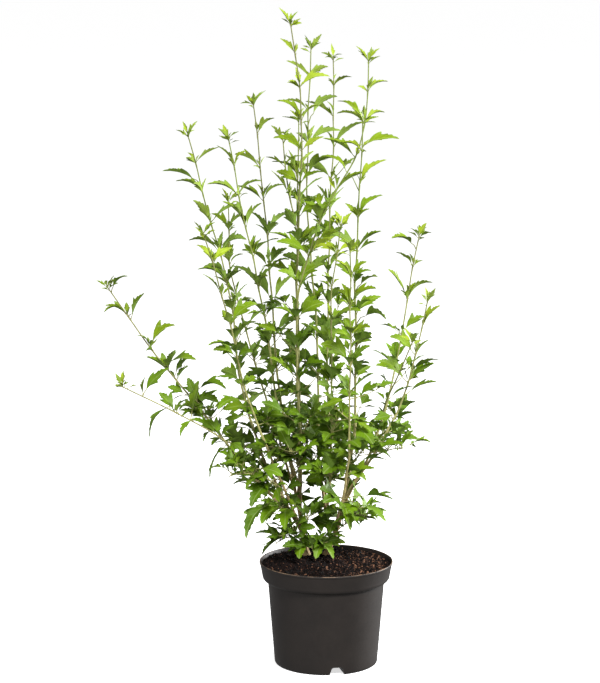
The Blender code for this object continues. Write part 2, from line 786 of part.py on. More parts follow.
def spray_points(foot, reach, bow):
    """A twig that leaves its limb and bows up on the way to its tip."""
    count = max(4, round(reach.length / SPRAY_PITCH))
    points = []
    for i in range(count + 1):
        t = i / count
        lift = Vector((0, 0, bow * 4 * t * (1 - t)))
        points.append(foot + reach * t + lift + zigzag(i) * (1 if 0 < i < count else 0))
    return points


def make_spray(name, limb, height, reach, bow, droop, limb_tree, parts):
    """A low spray: a side twig with leaves all the way along."""
    mass = Mass(name)
    axis = limb.at(height * MM)
    reach = Vector(reach) * MM
    flat = Vector((reach.x, reach.y, 0)).normalized()
    out = limb.radius(height * MM) + 0.0006
    for _ in range(60):
        points = spray_points(axis + flat * out, reach, bow * MM)
        nearest = limb_tree.find_nearest(points[0])[3]
        if nearest > GAP + 0.0011:
            break
        out += 0.0001
    radii = [0.0012 - 0.0004 * i / (len(points) - 1) for i in range(len(points))]
    mass.stem = tube(name, points, radii, parts, resolution=0)
    mass.droop = math.radians(droop)
    for i in range(1, len(points) - 1):
        along = (points[i + 1] - points[i]).normalized()
        mass.nodes.append((points[i], along, i, len(points) - 2 - i, LEAF_LOW))
    mass.tips.append((points[-1], (points[-1] - points[-2]).normalized(), LEAF_LOW))
    mass.heading = math.atan2(reach.y, reach.x)
    return mass


def spray_leaf(mass, index, rank, full, rng):
    """The leaf at a spray's node: to one side and the other by turns, hanging a little."""
    side = 1 if index % 2 else -1
    azimuth = mass.heading + side * math.radians(rng.uniform(35, 85))
    lift = math.radians(rng.uniform(15, 50)) - mass.droop * 0.3
    size = min(1.0, 0.66 + 0.2 * rank) * full * rng.uniform(0.8, 1.08)
    return azimuth, lift, size, mass.droop


def joined(stem, other, solver, cutters):
    """The mesh of a stem united with an object or a collection, or None if it isn't sound."""
    trial = stem.copy()
    trial.data = stem.data.copy()
    cutters.objects.link(trial)
    boolean(trial, "UNION", other, solver)
    apply_modifiers(trial)
    keep_largest(trial)
    mesh = trial.data
    bpy.data.objects.remove(trial, do_unlink=True)
    return mesh if sound(mesh) else None


def sound(mesh):
    """Whether a mesh is one closed body that nowhere touches itself."""
    bm = bmesh.new()
    bm.from_mesh(mesh)
    bmesh.ops.remove_doubles(bm, verts=bm.verts, dist=0.0000006)
    fine = len(bm.faces) > 8 and all(e.is_manifold for e in bm.edges)
    fine = fine and all(v.is_manifold for v in bm.verts) and len(islands(bm)) == 1
    fine = fine and all(len({v.index for v in f.verts}) == len(f.verts) for f in bm.faces)
    bm.free()
    return fine


def fuse(mass, group, cutters):
    """Joins a mass's leaves and side twigs to its stem as one body.

    A leaf that neither solver can join is left out.
    """
    while True:
        for solver in ("EXACT", "MANIFOLD"):
            mesh = joined(mass.stem, group, solver, cutters)
            if mesh:
                mass.stem.data = mesh
                for obj in list(group.objects):
                    bpy.data.objects.remove(obj, do_unlink=True)
                bpy.data.collections.remove(group)
                return
        leaves = list(group.objects)
        bad = [leaf for leaf in leaves if not joined(mass.stem, leaf, "EXACT", cutters)]
        for leaf in bad or leaves[-1:]:
            bpy.data.objects.remove(leaf, do_unlink=True)


def grow_masses(parts, cutters, limbs, made, room, mats):
    """Every stem first, so that leaves keep clear of all of them, and then the leaves."""
    masses = []
    for letter, row in CANES.items():
        limb = limbs["cane_" + letter]
        name = "shoot_" + letter
        masses.append(make_shoot(name, limb, SHOOT_FROM_Z + GAP, row[7], parts))
    for letter, row in SIDE_SHOOTS.items():
        limb = row_limb(limbs, row)
        tree = object_tree(made[row[0]])
        z0 = limb.z0 + 0.001
        mass = make_shoot("shoot_" + letter, limb, z0, row[7], parts)
        while not stands_off(mass.stem, tree):
            bpy.data.objects.remove(mass.stem, do_unlink=True)
            z0 += 0.0002
            mass = make_shoot("shoot_" + letter, limb, z0, row[7], parts)
        mass.stem.name = mass.name
        masses.append(mass)
    for i, (parent, height, reach, bow, droop) in enumerate(SPRAYS):
        name = f"low_spray_{i + 1:02d}"
        tree = object_tree(made[parent])
        masses.append(make_spray(name, limbs[parent], height, reach, bow, droop, tree, parts))
    for mass in masses:
        room.add_object(mass.name + "_stem", mass.stem)
    counts = {}
    for number, mass in enumerate(masses):
        rng = random.Random(SEED + 31 * number)
        group = bpy.data.collections.new(mass.name + "_leaves")
        cutters.children.link(group)
        for points, radii in mass.twigs:
            twig = tube(mass.name + "_twig", points, radii, group, resolution=0)
            twig.data.materials.append(mats["shoot"])
            room.add_object(mass.name + "_stem", twig)
        placed = 0
        for place, along, full in mass.tips:
            for k, leaf in enumerate(tip_leaves(full, rng)):
                root = place - along * ROOT_UP * (1 + k)
                placed += place_leaf(root, leaf, mass.name, room, group, mats["young_leaf"])
        for place, along, side, rank, full in mass.nodes:
            if isinstance(side, int):
                leaves = [spray_leaf(mass, side, rank, full, rng)]
            else:
                leaves = node_leaves(side, rank, full, rng)
            for k, leaf in enumerate(leaves):
                root = place + along * ROOT_UP * (1 + k)
                placed += place_leaf(root, leaf, mass.name, room, group, mats["leaf"])
        mass.stem.data.materials.clear()
        mass.stem.data.materials.append(mats["shoot"])
        fuse(mass, group, cutters)
        counts[mass.name] = placed
    return counts


def stands_off(stem, tree):
    """Whether a stem is clear of its parent by the gap."""
    if tree.overlap(object_tree(stem)):
        return False
    return min(tree.find_nearest(v.co)[3] for v in stem.data.vertices) >= GAP


def object_tree(obj):
    bm = bmesh.new()
    bm.from_mesh(obj.data)
    tree = BVHTree.FromBMesh(bm)
    bm.free()
    return tree


def main():
    parts, cutters = fresh_scene()
    mats = {
        "pot": material("pot_plastic", (0.045, 0.040, 0.039), 0.55),
        "compost": material("compost", (0.030, 0.016, 0.010), 0.95),
        "bark": material("bark", (0.34, 0.25, 0.16), 0.85),
        "shoot": material("green_shoot", (0.22, 0.25, 0.10), 0.7),
        "leaf": material("leaf", (0.12, 0.26, 0.03), 0.6),
        "young_leaf": material("young_leaf", (0.36, 0.52, 0.07), 0.55),
    }
    pot = make_pot(parts, cutters, mats["pot"])
    compost = make_compost(parts, cutters, mats["compost"])
    limbs = limb_table()
    made = make_limbs(parts, cutters, limbs, mats["bark"])
    room = Room()
    for name, obj in [("pot", pot), ("compost", compost), *made.items()]:
        room.add_object(name, obj)
    return grow_masses(parts, cutters, limbs, made, room, mats)


if __name__ == "__main__":
    main()
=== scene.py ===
"""Dresses the potted hibiscus shrub: pot, compost, bark, green shoots, leaves and stage.

Metres, +Z up, the origin in the middle of the pot's underside.  The limbs and the masses
of foliage grow by the same named courses and seeded rule as the part's solids, and are
carried on here to stalks, spurs, buds and toothed leaves.
"""

import functools
import itertools
import json
import math
import random

import bmesh
import bpy
import numpy as np
from bpy.props import FloatProperty, FloatVectorProperty, IntProperty, PointerProperty
from mathutils import Matrix, Vector, noise

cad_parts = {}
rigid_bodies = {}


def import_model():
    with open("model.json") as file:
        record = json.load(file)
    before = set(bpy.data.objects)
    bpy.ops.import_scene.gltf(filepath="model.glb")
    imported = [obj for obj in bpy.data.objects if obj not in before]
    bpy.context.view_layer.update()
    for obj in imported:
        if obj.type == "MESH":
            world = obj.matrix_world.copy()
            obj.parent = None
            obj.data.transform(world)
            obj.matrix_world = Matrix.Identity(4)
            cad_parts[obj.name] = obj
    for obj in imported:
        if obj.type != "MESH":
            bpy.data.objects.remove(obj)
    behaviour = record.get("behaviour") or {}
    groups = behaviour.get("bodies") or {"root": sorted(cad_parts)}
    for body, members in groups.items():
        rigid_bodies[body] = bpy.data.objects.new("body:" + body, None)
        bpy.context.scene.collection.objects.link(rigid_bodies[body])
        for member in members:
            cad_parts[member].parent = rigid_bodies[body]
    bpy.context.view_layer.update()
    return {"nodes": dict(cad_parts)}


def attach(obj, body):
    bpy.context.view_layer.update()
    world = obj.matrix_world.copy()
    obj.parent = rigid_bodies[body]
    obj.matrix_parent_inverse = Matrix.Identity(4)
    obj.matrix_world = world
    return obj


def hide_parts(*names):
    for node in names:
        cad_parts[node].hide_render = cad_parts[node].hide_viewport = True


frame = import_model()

bl_info = {
    "name": "Potted Hibiscus Shrub",
    "version": (1, 0, 0),
    "blender": (4, 5, 0),
    "location": "3D View > Sidebar > Hibiscus",
    "description": "Builds a young hibiscus shrub in a round nursery pot",
    "category": "Add Mesh",
}

MM = 0.001
SEED = 2211
SEED_STEP = 31  # from one shoot or spray to the next
FINE_SEED, LOW_LEAF_SEED, CHIP_SEED = 7, 5, 99  # added for what the solids leave out

# ---- pot and compost -------------------------------------------------------------------
POT_STEPS = 168  # facets round it
LIP_SWELL = 0.0002  # the rolled rim is thicker than the wall by twice this
LIP_ROUND = 0.0010  # its top is rounded off by this
LIP_DEPTH = 0.0042  # it ends this far under its top
LIP_STEP = 0.0010  # and the collar under it stands in by this
COLLAR_R = 0.110  # outside of the collar at its lower edge
COLLAR_Z = 0.1550  # where the collar's lower edge begins to round in
BODY_TOP_R = 0.1005  # outside of the tapering body just under the collar
BODY_TOP_Z = 0.1460
BASE_R = 0.089  # outside of the body just above the base's rounding
BASE_ROUND = 0.004
FLOOR = 0.0024
CHANNELS = 3  # drainage channels under the pot
CHANNEL_FIRST_DEG = -78.0  # azimuth of the first one
CHANNEL_IN_R = 0.042  # they run from here out through the wall
CHANNEL_H = 0.014
CHANNEL_W_FOOT = 0.028
CHANNEL_W_TOP = 0.018
CHANNEL_ROUND = 0.003
CHANNEL_LOW_Z = -0.002  # what cuts them out starts under the pot
DRAIN_R = 0.0045  # a round hole in the roof of each channel
DRAIN_AT_R = 0.066
DRAIN_DEPTH = 0.012
COMPOST_STEPS = 150
COMPOST_RINGS = 52
COMPOST_EDGE_Z = 0.1755
COMPOST_MOUND_Z = 0.1800
COMPOST_FOOT_Z = 0.024
COMPOST_INSET = 0.0035  # the bed stays this far inside the outside of the pot's body
COMPOST_CLEAR = 0.0030  # and its top this far inside the rim's wall
COMPOST_SINK = 0.0012  # it lies this much lower, because chips lie on it
MOUND_FROM_R = 0.036  # its surface falls between these two radii
MOUND_TO_R = 0.1105
# The surface's lumps, crumbs and grit: scale of the noise, place in it, and depth.
COMPOST_LUMPS = ((38, 0.3, 0.0016), (150, 4.1, 0.0009), (420, 9.7, 0.0005))
CHIP_SHAPES = 6
CHIP_LENGTH = (0.0009, 0.0028)  # half of a chip's length, least and most
CHIP_WIDTH = (0.18, 0.50)  # its width and thickness, as shares of its length
CHIP_THICKNESS = (0.15, 0.40)
LONG_CHIP, LONG_CHIPS = 1.7, 0.05  # how much longer a long one is, and their share
PALE_CHIPS, PALE_CHIPS_RIGHT = 0.03, 0.15  # share of pale ones, and more at the right
BROWN_CHIPS = 0.36

# ---- limbs, as in the part's source ----------------------------------------------------
GAP = 0.0003  # between a solid and what carries it
TRUNK_FOOT_Z = COMPOST_MOUND_Z + GAP
FLARE_R = 0.0078  # a trunk's radius where it leaves the compost
FLARE_H = 0.016
NODE_PITCH = 0.055  # between a shoot's leaf nodes
SPRAY_PITCH = 0.017  # between a low spray's
LIMB_STEP = 0.032  # between a bare cane's
ZIGZAG = 0.0011  # sideways step at each node
TIP_R = 0.0010  # a stem's radius at its tip
BRANCH_R = 0.0014  # and that of a branch at its foot
TIP_LEAVES = 0.018  # the topmost leaves rise this far above their stem
SHOOT_FROM_Z = 0.44  # canes hand over to their leafy shoots at this height
ROOT_UP = 0.0035  # leaves of one node stand this far apart
STALKED_LEAF = 0.078  # a leaf at least this long stands on a longer stalk
SIDE_AZIMUTH = {"L": 180.0, "R": 0.0, "F": -90.0, "K": 90.0}

# ---- what grows on from them -----------------------------------------------------------
TRUNK_STEP, TRUNK_SIDES = 0.002, 26  # how close a tube's rings are, and its sides
CANE_STEP, CANE_SIDES = 0.0025, 18
STEM_STEP, STEM_SIDES = 0.006, 10
TWIG_STEP, TWIG_SIDES = 0.005, 7
SPUR_SIDES = 6
STALK_SIDES = 5
AWL_SIDES = 4
TRUNK_ROOT = 0.006  # a trunk is carried on this far into the compost
CANE_SWELL = 0.00055  # a cane's radius grows by this at its nodes
STEM_SWELL = 0.00045
SWELL_REACH = 0.004
FULL_RELIEF_R = 0.004  # bark is smoother on limbs thinner than this
BARK_RIDGES = (330, 42)  # scale of the noise across and along a limb
BARK_GRIT = (1100, 420)
AXIS_X, AXIS_Y = -0.030, 0.030  # the upright line round which the shrub spreads
HEART_R = 0.08  # leaves nearer to it than this may be in its shade
SIDE_R = 0.09  # canes further from it than this bear fewer spurs low down
LEAFY_TO_Z = 0.50  # leaves grow straight on the canes up to this height
DENSE_TO_Z = 0.78  # shoots bear more leaves at a node below this
TUFT_LEAVES = 6  # the small leaves crowded under a shoot's tip
BROAD_TO_Z, SLIM_FROM_Z = 0.52, 0.86  # leaves turn from broad to slim between these heights
SLIM_HIGH = 0.70  # the share of the leaves near the top that are long, not lobed
SLIM_LEAF = 0.036  # low down, a leaf shorter than this is long and not lobed
SMALL_LEAF = 0.022  # a leaf shorter than this has the small outline
NAMED_BLADE = 0.058  # a named leaf's blade is about this long at most, its stalk the rest
HANGING_CURL = 1.3  # a named leaf that curls over further than this is long, in radians

# A trunk: foot (x, y), tip (x, y, z), radius above the flare, radius at the tip, in mm.
TRUNKS = {
    "trunk_left": ((-34, 42), (-46, 33, 264), 4.8, 4.1),
    "trunk_right": ((2, 40), (22, 24, 240), 5.4, 4.2),
}

# A cane, in mm: parent, height of its foot on the parent, height its topmost leaves reach,
# x at equal steps of height above the foot, y half way and at the tip, radius at the foot,
# and the side that each node's leaf takes from the tip down (Left, Right, Both, Front, bacK).
CANES = {
    "a": ("trunk_left", 264, 1122, (-45, -48, -50, -45, -43, -61), 14, -34, 3.6,
          "LRLBBRBLRBKR"),
    "l": ("trunk_right", 240, 966, (46, 50, 48, 53, 58), -20, -96, 3.1, "LRRLBRLFRB"),
    "g": ("trunk_left", 236, 975, (-69, -87, -97, -110, -126), 92, 146, 2.9, "RLBRBLRBLK"),
    "f": ("trunk_left", 222, 786, (-92, -137, -166, -203), -72, -150, 2.6, "BLRFLB"),
    "k": ("trunk_left", 244, 1063, (-45, -49, -48, -10, 57, 68), -46, -66, 2.7,
          "RBLRFBLRFLR"),
    "r": ("trunk_left", 232, 680, (-140, -217, -300, -371), 6, -24, 2.7, "LRBLRBK"),
    "c": ("trunk_left", 214, 927, (-110, -150, -166, -202, -237), 84, 78, 2.7, "RLRBLKRLB"),
    "d": ("cane_a", 300, 926, (-80, -97, -118, -144, -166), 42, 20, 2.4, "BBLRLBFRL"),
    "e": ("cane_g", 286, 796, (-94, -134, -167, -172), 168, 228, 2.4, "BKLRBLK"),
    "b": ("trunk_right", 200, 1072, (-12, -13, -20, -32, -31, -26), 78, 132, 2.9,
          "BLRRLKBLRLK"),
    "i": ("cane_b", 262, 1050, (4, 3, 5, 8, 14, 13), 160, 216, 2.5, "RLRLBKRLBKR"),
    "n": ("cane_b", 240, 796, (8, 9, 7, 22), -52, -112, 2.2, "BFRLFB"),
    "m": ("trunk_right", 208, 764, (35, 38, 38, 36), -108, -186, 2.4, "BRFLRF"),
    "p": ("cane_l", 262, 746, (86, 121, 141, 163), 104, 138, 2.6, "LBRKRL"),
    "q": ("cane_l", 284, 658, (86, 130, 152, 170), -8, -36, 2.6, "RLBRF"),
}

# A long side shoot, in mm: parent cane, foot height, tip height, x and y as above, sides.
SIDE_SHOOTS = {
    "s": ("cane_r", 352, 532, (-167, -210, -271, -340), -84, -150, 1.7, "BLFRL"),
    "t": ("cane_p", 398, 606, (97, 114, 124, 141), -60, -140, 1.6, "BRFR"),
}

# A branch inside shoot_a: foot height, tip height, x half way and at the tip, y likewise.
BRANCHES = {
    "shoot_a": [(742, 954, (-49, -47), (44, 66), "LBRB"), (752, 922, (-66, -74), (24, 40), "BLR")],
}

# A low spray, in mm: parent limb, height on it, reach of its twig (x, y, z), bow of the
# twig above the straight line, and droop of its leaves in degrees.
SPRAYS = [
    ("cane_r", 392, (-44, -34, 74), 6, 40),
    ("cane_f", 300, (-96, -52, 38), 16, 60),
    ("cane_f", 262, (-48, -40, -8), 14, 95),
    ("trunk_left", 204, (-50, -46, 6), 10, 70),
    ("trunk_left", 192, (14, -62, 8), 8, 60),
    ("cane_m", 246, (52, -34, 12), 10, 80),
    ("cane_k", 318, (-18, -74, 66), 12, 60),
    ("cane_n", 300, (4, -66, 40), 12, 70),
    ("cane_l", 322, (26, -64, 58), 12, 65),
    ("cane_q", 352, (58, -36, 30), 8, 60),
    ("cane_p", 356, (54, 44, 52), 8, 50),
    ("cane_b", 330, (-12, 78, 60), 8, 45),
    ("cane_g", 344, (12, 82, 50), 8, 50),
    ("cane_c", 330, (-62, 48, 40), 8, 60),
    ("cane_d", 370, (-36, -44, 60), 6, 45),
    ("cane_i", 330, (56, 66, 50), 8, 50),
    ("cane_e", 352, (-40, 68, 30), 8, 60),
    ("trunk_right", 218, (52, 44, 14), 10, 70),
    ("cane_c", 268, (-46, 62, 4), 12, 80),
    ("cane_k", 384, (24, -56, 56), 12, 65),
    ("cane_n", 386, (10, -52, 54), 12, 65),
    ("trunk_left", 232, (10, -70, 26), 12, 75),
]

# A leaf that stands out, in mm and degrees: its limb, the height of its root on it, the
# place its tip reaches, and how far it curls over on the way.
NAMED_LEAVES = [
    ("trunk_left", 257, (-6, -12, 268), 40),
    ("trunk_right", 238, (6, -28, 235), 60),
    ("trunk_left", 239, (-72, -26, 222), 50),
    ("trunk_left", 221, (-110, -30, 197), 45),
    ("trunk_left", 207, (-46, -30, 190), 50),
    ("trunk_right", 209, (-18, -26, 189), 60),
    ("trunk_left", 212, (12, -30, 190), 60),
    ("cane_f", 274, (-110, -60, 258), 45),
    ("cane_f", 294, (-136, -74, 236), 80),
    ("cane_m", 290, (-6, -70, 298), 40),
    ("trunk_right", 239, (54, -30, 258), 60),
    ("cane_m", 280, (40, -70, 249), 80),
    ("cane_m", 290, (114, -70, 303), 30),
    ("cane_m", 284, (100, -74, 266), 50),
    ("cane_f", 342, (-136, -80, 324), 50),
    ("cane_f", 323, (-128, -70, 290), 60),
    ("cane_r", 376, (-198, -40, 332), 80),
    ("cane_r", 389, (-195, -30, 388), 40),
    ("cane_c", 821, (-280, 60, 847), 40),
    ("cane_l", 945, (16, -60, 976), 60),
    ("cane_l", 898, (119, -90, 916), 50),
    ("cane_l", 826, (-12, -70, 885), 80),
    ("cane_l", 723, (91, -70, 761), 40),
    ("cane_q", 509, (192, -40, 538), 50),
    ("cane_r", 622, (-376, -30, 617), 60),
    ("cane_r", 466, (-213, -20, 441), 80),
    ("cane_b", 922, (20, 130, 968), 70),
    ("cane_s", 467, (-294, -130, 421), 80),
    ("cane_s", 443, (-245, -110, 420), 60),
    ("cane_s", 494, (-260, -138, 542), 30),
    ("cane_s", 494, (-301, -134, 527), 15),
    ("cane_s", 446, (-213, -84, 512), 25),
    ("cane_r", 466, (-170, -40, 487), 70),
    ("cane_r", 519, (-220, -40, 538), 50),
    ("cane_r", 514, (-257, -50, 556), 15),
    ("cane_r", 601, (-306, -40, 652), 30),
    ("cane_r", 650, (-333, -50, 682), 60),
    ("cane_r", 546, (-305, -40, 553), 50),
    ("cane_l", 594, (98, -90, 615), 70),
    ("cane_l", 653, (84, -90, 687), 40),
    ("cane_l", 556, (76, -80, 582), 40),
    ("cane_p", 701, (112, 84, 728), 50),
    ("cane_q", 391, (142, -64, 424), 50),
    ("cane_c", 664, (-211, 60, 682), 50),
    ("cane_f", 561, (-197, -130, 578), 50),
    ("cane_f", 465, (-182, -120, 468), 60),
    ("cane_r", 389, (-208, -64, 402), 80),
    ("cane_a", 745, (-70, -36, 795), 30),
]

# Half of a leaf's outline from its stalk to its tip, one unit long.
LOBED = [(0, 0), (0.07, 0.03), (0.20, 0.12), (0.31, 0.235), (0.40, 0.29), (0.50, 0.365),
         (0.61, 0.435), (0.65, 0.41), (0.615, 0.29), (0.58, 0.175), (0.65, 0.185), (0.71, 0.22),
         (0.74, 0.155), (0.82, 0.16), (0.86, 0.10), (0.94, 0.08), (1, 0)]
LONG = [(0, 0), (0.06, 0.03), (0.18, 0.11), (0.30, 0.195), (0.39, 0.25), (0.48, 0.295),
        (0.51, 0.27), (0.495, 0.185), (0.56, 0.17), (0.65, 0.185), (0.68, 0.13), (0.77, 0.135),
        (0.81, 0.08), (0.92, 0.06), (1, 0)]
SMALL = [(0, 0), (0.12, 0.035), (0.34, 0.15), (0.50, 0.225), (0.60, 0.25), (0.61, 0.16),
         (0.74, 0.14), (0.88, 0.07), (1, 0)]

# A kind of leaf: its outline, and where it is cut across so that it can bend.  The cuts
# leave every face a corner or an edge on the midrib.
LEAF_KINDS = {
    "lobed": (LOBED, (0.22, 0.42, 0.66, 0.80)),
    "long": (LONG, (0.24, 0.42, 0.53, 0.74)),
    "small": (SMALL, (0.34, 0.64)),
}
TONES = ("young", "light", "mid", "deep", "shade")  # from the tips down to the heart
LIGHT_FROM_Z = 0.80  # most leaves are light above this
MID_FROM_Z = 0.52  # and deep below this
TONE_WANDER = 0.09  # both heights wander by this much either way
YOUNG_TIPS_Z = 0.50  # shoots have younger tips above this
PALE_FROM_Z = 0.55  # below this leaves are mid at the palest, but for a shoot's tip
SHADE_TO_Z, DEEP_SHADE_Z = 0.60, 0.34  # leaves in the heart are darkened below these as painted shade, more so below the second
VEIN_TINT = (0.62, 0.70, 0.30)  # what the veins and the undersides lean to
UNDERSIDE_TINT = (0.24, 0.36, 0.09)

# ---- stage -----------------------------------------------------------------------------
FLOOR_HALF = 60.0  # half its width
FLOOR_GLOW = 0.68
CAMERA_X = -0.045
CAMERA_LENS_MM = 141.57541
SENSOR_MM = 36.0
LIT_PLACE = (-0.05, 0.0, 0.5)  # the lamps point at it
# A lamp: its place, its share of the main light's power, and its size.
LAMPS = {
    "key_light": ((1.6, -3.0, 3.2), 1.0, 1.2),
    "front_light": ((-2.6, -3.2, 1.8), 0.25, 1.2),
    "side_light": ((2.6, 1.1, 0.8), 0.52, 1.0),
}


def linear(red, green, blue):
    """A screen colour of 0 to 255 as the linear colour that a shader takes."""
    shares = (v / 255 for v in (red, green, blue))
    return tuple(v / 12.92 if v <= 0.04045 else ((v + 0.055) / 1.055) ** 2.4 for v in shares)


def size_property(name, description, default):
    """A length that a user may change, in metres."""
    return FloatProperty(name=name, description=description, default=default,
                         subtype="DISTANCE", unit="LENGTH")


def colour_property(name, description, *screen):
    """A colour that a user may change, given as a screen shows it."""
    return FloatVectorProperty(name=name, description=description, default=linear(*screen),
                               subtype="COLOR", size=3, min=0.0, max=1.0)


# ---- settings --------------------------------------------------------------------------


class PotSettings(bpy.types.PropertyGroup):
    """Sizes and colours of the nursery pot."""

    height: size_property("Height", "From the ground to the top of the rim", 0.180)
    rim_radius: size_property("Rim radius", "Outside of the rim", 0.115)
    wall: size_property("Wall", "Thickness of the plastic", 0.0016)
    plastic: colour_property("Plastic", "Colour of the plastic", 32, 27, 24)
    # Paints the top of the rim paler: partly dust, partly a painted highlight on the lip.
    rim_dust_and_highlight: colour_property("Dust", "Colour of the dried compost along the rim", 150, 122, 96)


class CompostSettings(bpy.types.PropertyGroup):
    """The compost and the bark chips in it."""

    chips: IntProperty(name="Chips", description="How many bark chips lie on top",
                       default=7400, min=0)
    dark: colour_property("Compost", "Colour of the damp compost", 11, 6, 5)
    brown: colour_property("Brown chips", "Colour of most of the chips", 33, 17, 11)
    tan: colour_property("Pale chips", "Colour of the dry chips", 116, 82, 62)


class LimbSettings(bpy.types.PropertyGroup):
    """Bark and green shoots."""

    relief: size_property("Bark relief", "Depth of the bark's ridges", 0.00030)
    bark: colour_property("Old bark", "Colour of the trunks", 196, 172, 128)
    ridge: colour_property("Bark furrows", "Colour between the ridges", 146, 118, 82)
    cane: colour_property("Cane bark", "Colour of the canes half way up", 186, 182, 118)
    shoot: colour_property("Green shoot", "Colour of this year's growth", 108, 122, 52)


class LeafSettings(bpy.types.PropertyGroup):
    """Sizes and colours of the leaves."""

    full: size_property("Leaf length", "A full leaf on the canes, with its stalk", 0.068)
    low: size_property("Low leaf length", "A full leaf on the low sprays", 0.092)
    thickness: size_property("Leaf thickness", "Thickness of a blade", 0.0005)
    young: colour_property("Young", "The newest leaves", 138, 158, 34)
    light: colour_property("Light", "Leaves near the top", 110, 134, 12)
    mid: colour_property("Mid", "Leaves half way down", 102, 130, 14)
    deep: colour_property("Deep", "Leaves low on the canes", 92, 124, 10)
    # The shade green is painted shade for leaves in the heart of the shrub.
    shade: colour_property("Shade", "Leaves in the heart of the shrub", 72, 102, 6)


class StageSettings(bpy.types.PropertyGroup):
    """Floor, light and camera."""

    floor: colour_property("Floor", "Colour of the floor", 252, 252, 252)
    fill: FloatProperty(name="Fill", description="Strength of the even light", default=0.34,
                        min=0.0, max=1.0, subtype="FACTOR")
    key: FloatProperty(name="Key", description="Power of the main light", default=300.0,
                       min=0.0, subtype="POWER", unit="POWER")
    camera_height: size_property("Camera height", "Height of the camera", 1.34)
    camera_distance: size_property("Camera distance", "From the camera to the pot", 4.5)
    camera_pitch: FloatProperty(name="Camera pitch", description="How far the camera looks down",
                                default=math.radians(9.8), subtype="ANGLE", unit="ROTATION")


# ---- finishes --------------------------------------------------------------------------


class Value:
    """A number that a node gives; sums on it add the Math nodes."""

    def __init__(self, tree, socket):
        self.tree = tree
        self.socket = socket

    def sum(self, operation, *values):
        """What a Math node makes of these values."""
        node = self.tree.nodes.new("ShaderNodeMath")
        node.operation = operation
        for place, value in zip(node.inputs, values):
            if isinstance(value, Value):
                self.tree.links.new(value.socket, place)
            else:
                place.default_value = value
        return Value(self.tree, node.outputs[0])

    def __add__(self, other):
        return self.sum("ADD", self, other)

    def __radd__(self, other):
        return self.sum("ADD", other, self)

    def __sub__(self, other):
        return self.sum("SUBTRACT", self, other)

    def __rsub__(self, other):
        return self.sum("SUBTRACT", other, self)

    def __mul__(self, other):
        return self.sum("MULTIPLY", self, other)

    def __rmul__(self, other):
        return self.sum("MULTIPLY", other, self)

    def __truediv__(self, other):
        return self.sum("DIVIDE", self, other)

    def __abs__(self):
        return self.sum("ABSOLUTE", self)

    def fraction(self):
        return self.sum("FRACT", self)

    def clipped(self):
        """The number held between 0 and 1."""
        return self.sum("MINIMUM", self.sum("MAXIMUM", self, 0.0), 1.0)

    def between(self, low, high):
        """0 below low, 1 above high, and even in between."""
        return ((self - low) / (high - low)).clipped()


class Finish:
    """A material whose pattern is added node by node to one shader."""

    def __init__(self, name, **constants):
        self.material = bpy.data.materials.new(name)
        self.material.use_nodes = True
        self.tree = self.material.node_tree
        self.shader = self.tree.nodes["Principled BSDF"]
        for socket, value in constants.items():
            self.shader.inputs[socket.replace("_", " ")].default_value = value

    def node(self, kind, settings=None, inputs=None):
        """A new node; its settings are set first, then its sockets by name or number."""
        node = self.tree.nodes.new(kind)
        for key, value in (settings or {}).items():
            setattr(node, key, value)
        for key, value in (inputs or {}).items():
            self.feed(node.inputs[key], value)
        return node

    def feed(self, socket, value):
        """Links a socket to what a node gives, or sets it."""
        if isinstance(value, Value):
            value = value.socket
        if isinstance(value, bpy.types.NodeSocket):
            self.tree.links.new(value, socket)
        elif socket.type == "RGBA" and len(value) == 3:
            socket.default_value = (*value, 1.0)
        else:
            socket.default_value = value

    def place(self, stretch=(1.0, 1.0, 1.0)):
        """The object's own coordinates, stretched."""
        at = self.node("ShaderNodeTexCoord").outputs["Object"]
        return self.node("ShaderNodeMapping", {}, {"Vector": at, "Scale": stretch}).outputs[0]

    def axis(self, letter):
        """The point's own coordinate along X, Y or Z."""
        at = self.node("ShaderNodeTexCoord").outputs["Object"]
        parts = self.node("ShaderNodeSeparateXYZ", {}, {0: at})
        return Value(self.tree, parts.outputs[letter])

    def on_leaf(self):
        """How far along its leaf a point lies, and how far across."""
        at = self.node("ShaderNodeUVMap", {"uv_map": "leaf"}).outputs[0]
        parts = self.node("ShaderNodeSeparateXYZ", {}, {0: at})
        return Value(self.tree, parts.outputs["X"]), Value(self.tree, parts.outputs["Y"])

    def grain(self, scale, detail=3.0, roughness=0.5, stretch=(1.0, 1.0, 1.0)):
        """Soft noise."""
        inputs = {"Vector": self.place(stretch), "Scale": scale, "Detail": detail,
                  "Roughness": roughness}
        return Value(self.tree, self.node("ShaderNodeTexNoise", {}, inputs).outputs["Fac"])

    def cells(self, scale, stretch=(1.0, 1.0, 1.0)):
        """How far the middle of the nearest of many scattered cells lies."""
        inputs = {"Vector": self.place(stretch), "Scale": scale}
        return Value(self.tree, self.node("ShaderNodeTexVoronoi", {}, inputs).outputs["Distance"])

    def blend(self, share, first, second):
        """The first colour where share is 0, the second where it is 1."""
        node = self.node("ShaderNodeMix", {"data_type": "RGBA"}, {0: share, 6: first, 7: second})
        return node.outputs[2]

    def colour(self, value):
        self.feed(self.shader.inputs["Base Color"], value)

    def rough(self, value):
        self.feed(self.shader.inputs["Roughness"], value)

    def bump(self, height, distance, strength=1.0):
        inputs = {"Height": height, "Distance": distance, "Strength": strength}
        node = self.node("ShaderNodeBump", {}, inputs)
        self.feed(self.shader.inputs["Normal"], node.outputs[0])


def scaled(colour, factor):
    """A lighter or darker colour."""
    return tuple(min(1.0, v * factor) for v in colour)


def mixed(first, second, share):
    """A share of the way from the first colour to the second."""
    return tuple(a + (b - a) * share for a, b in zip(first, second))


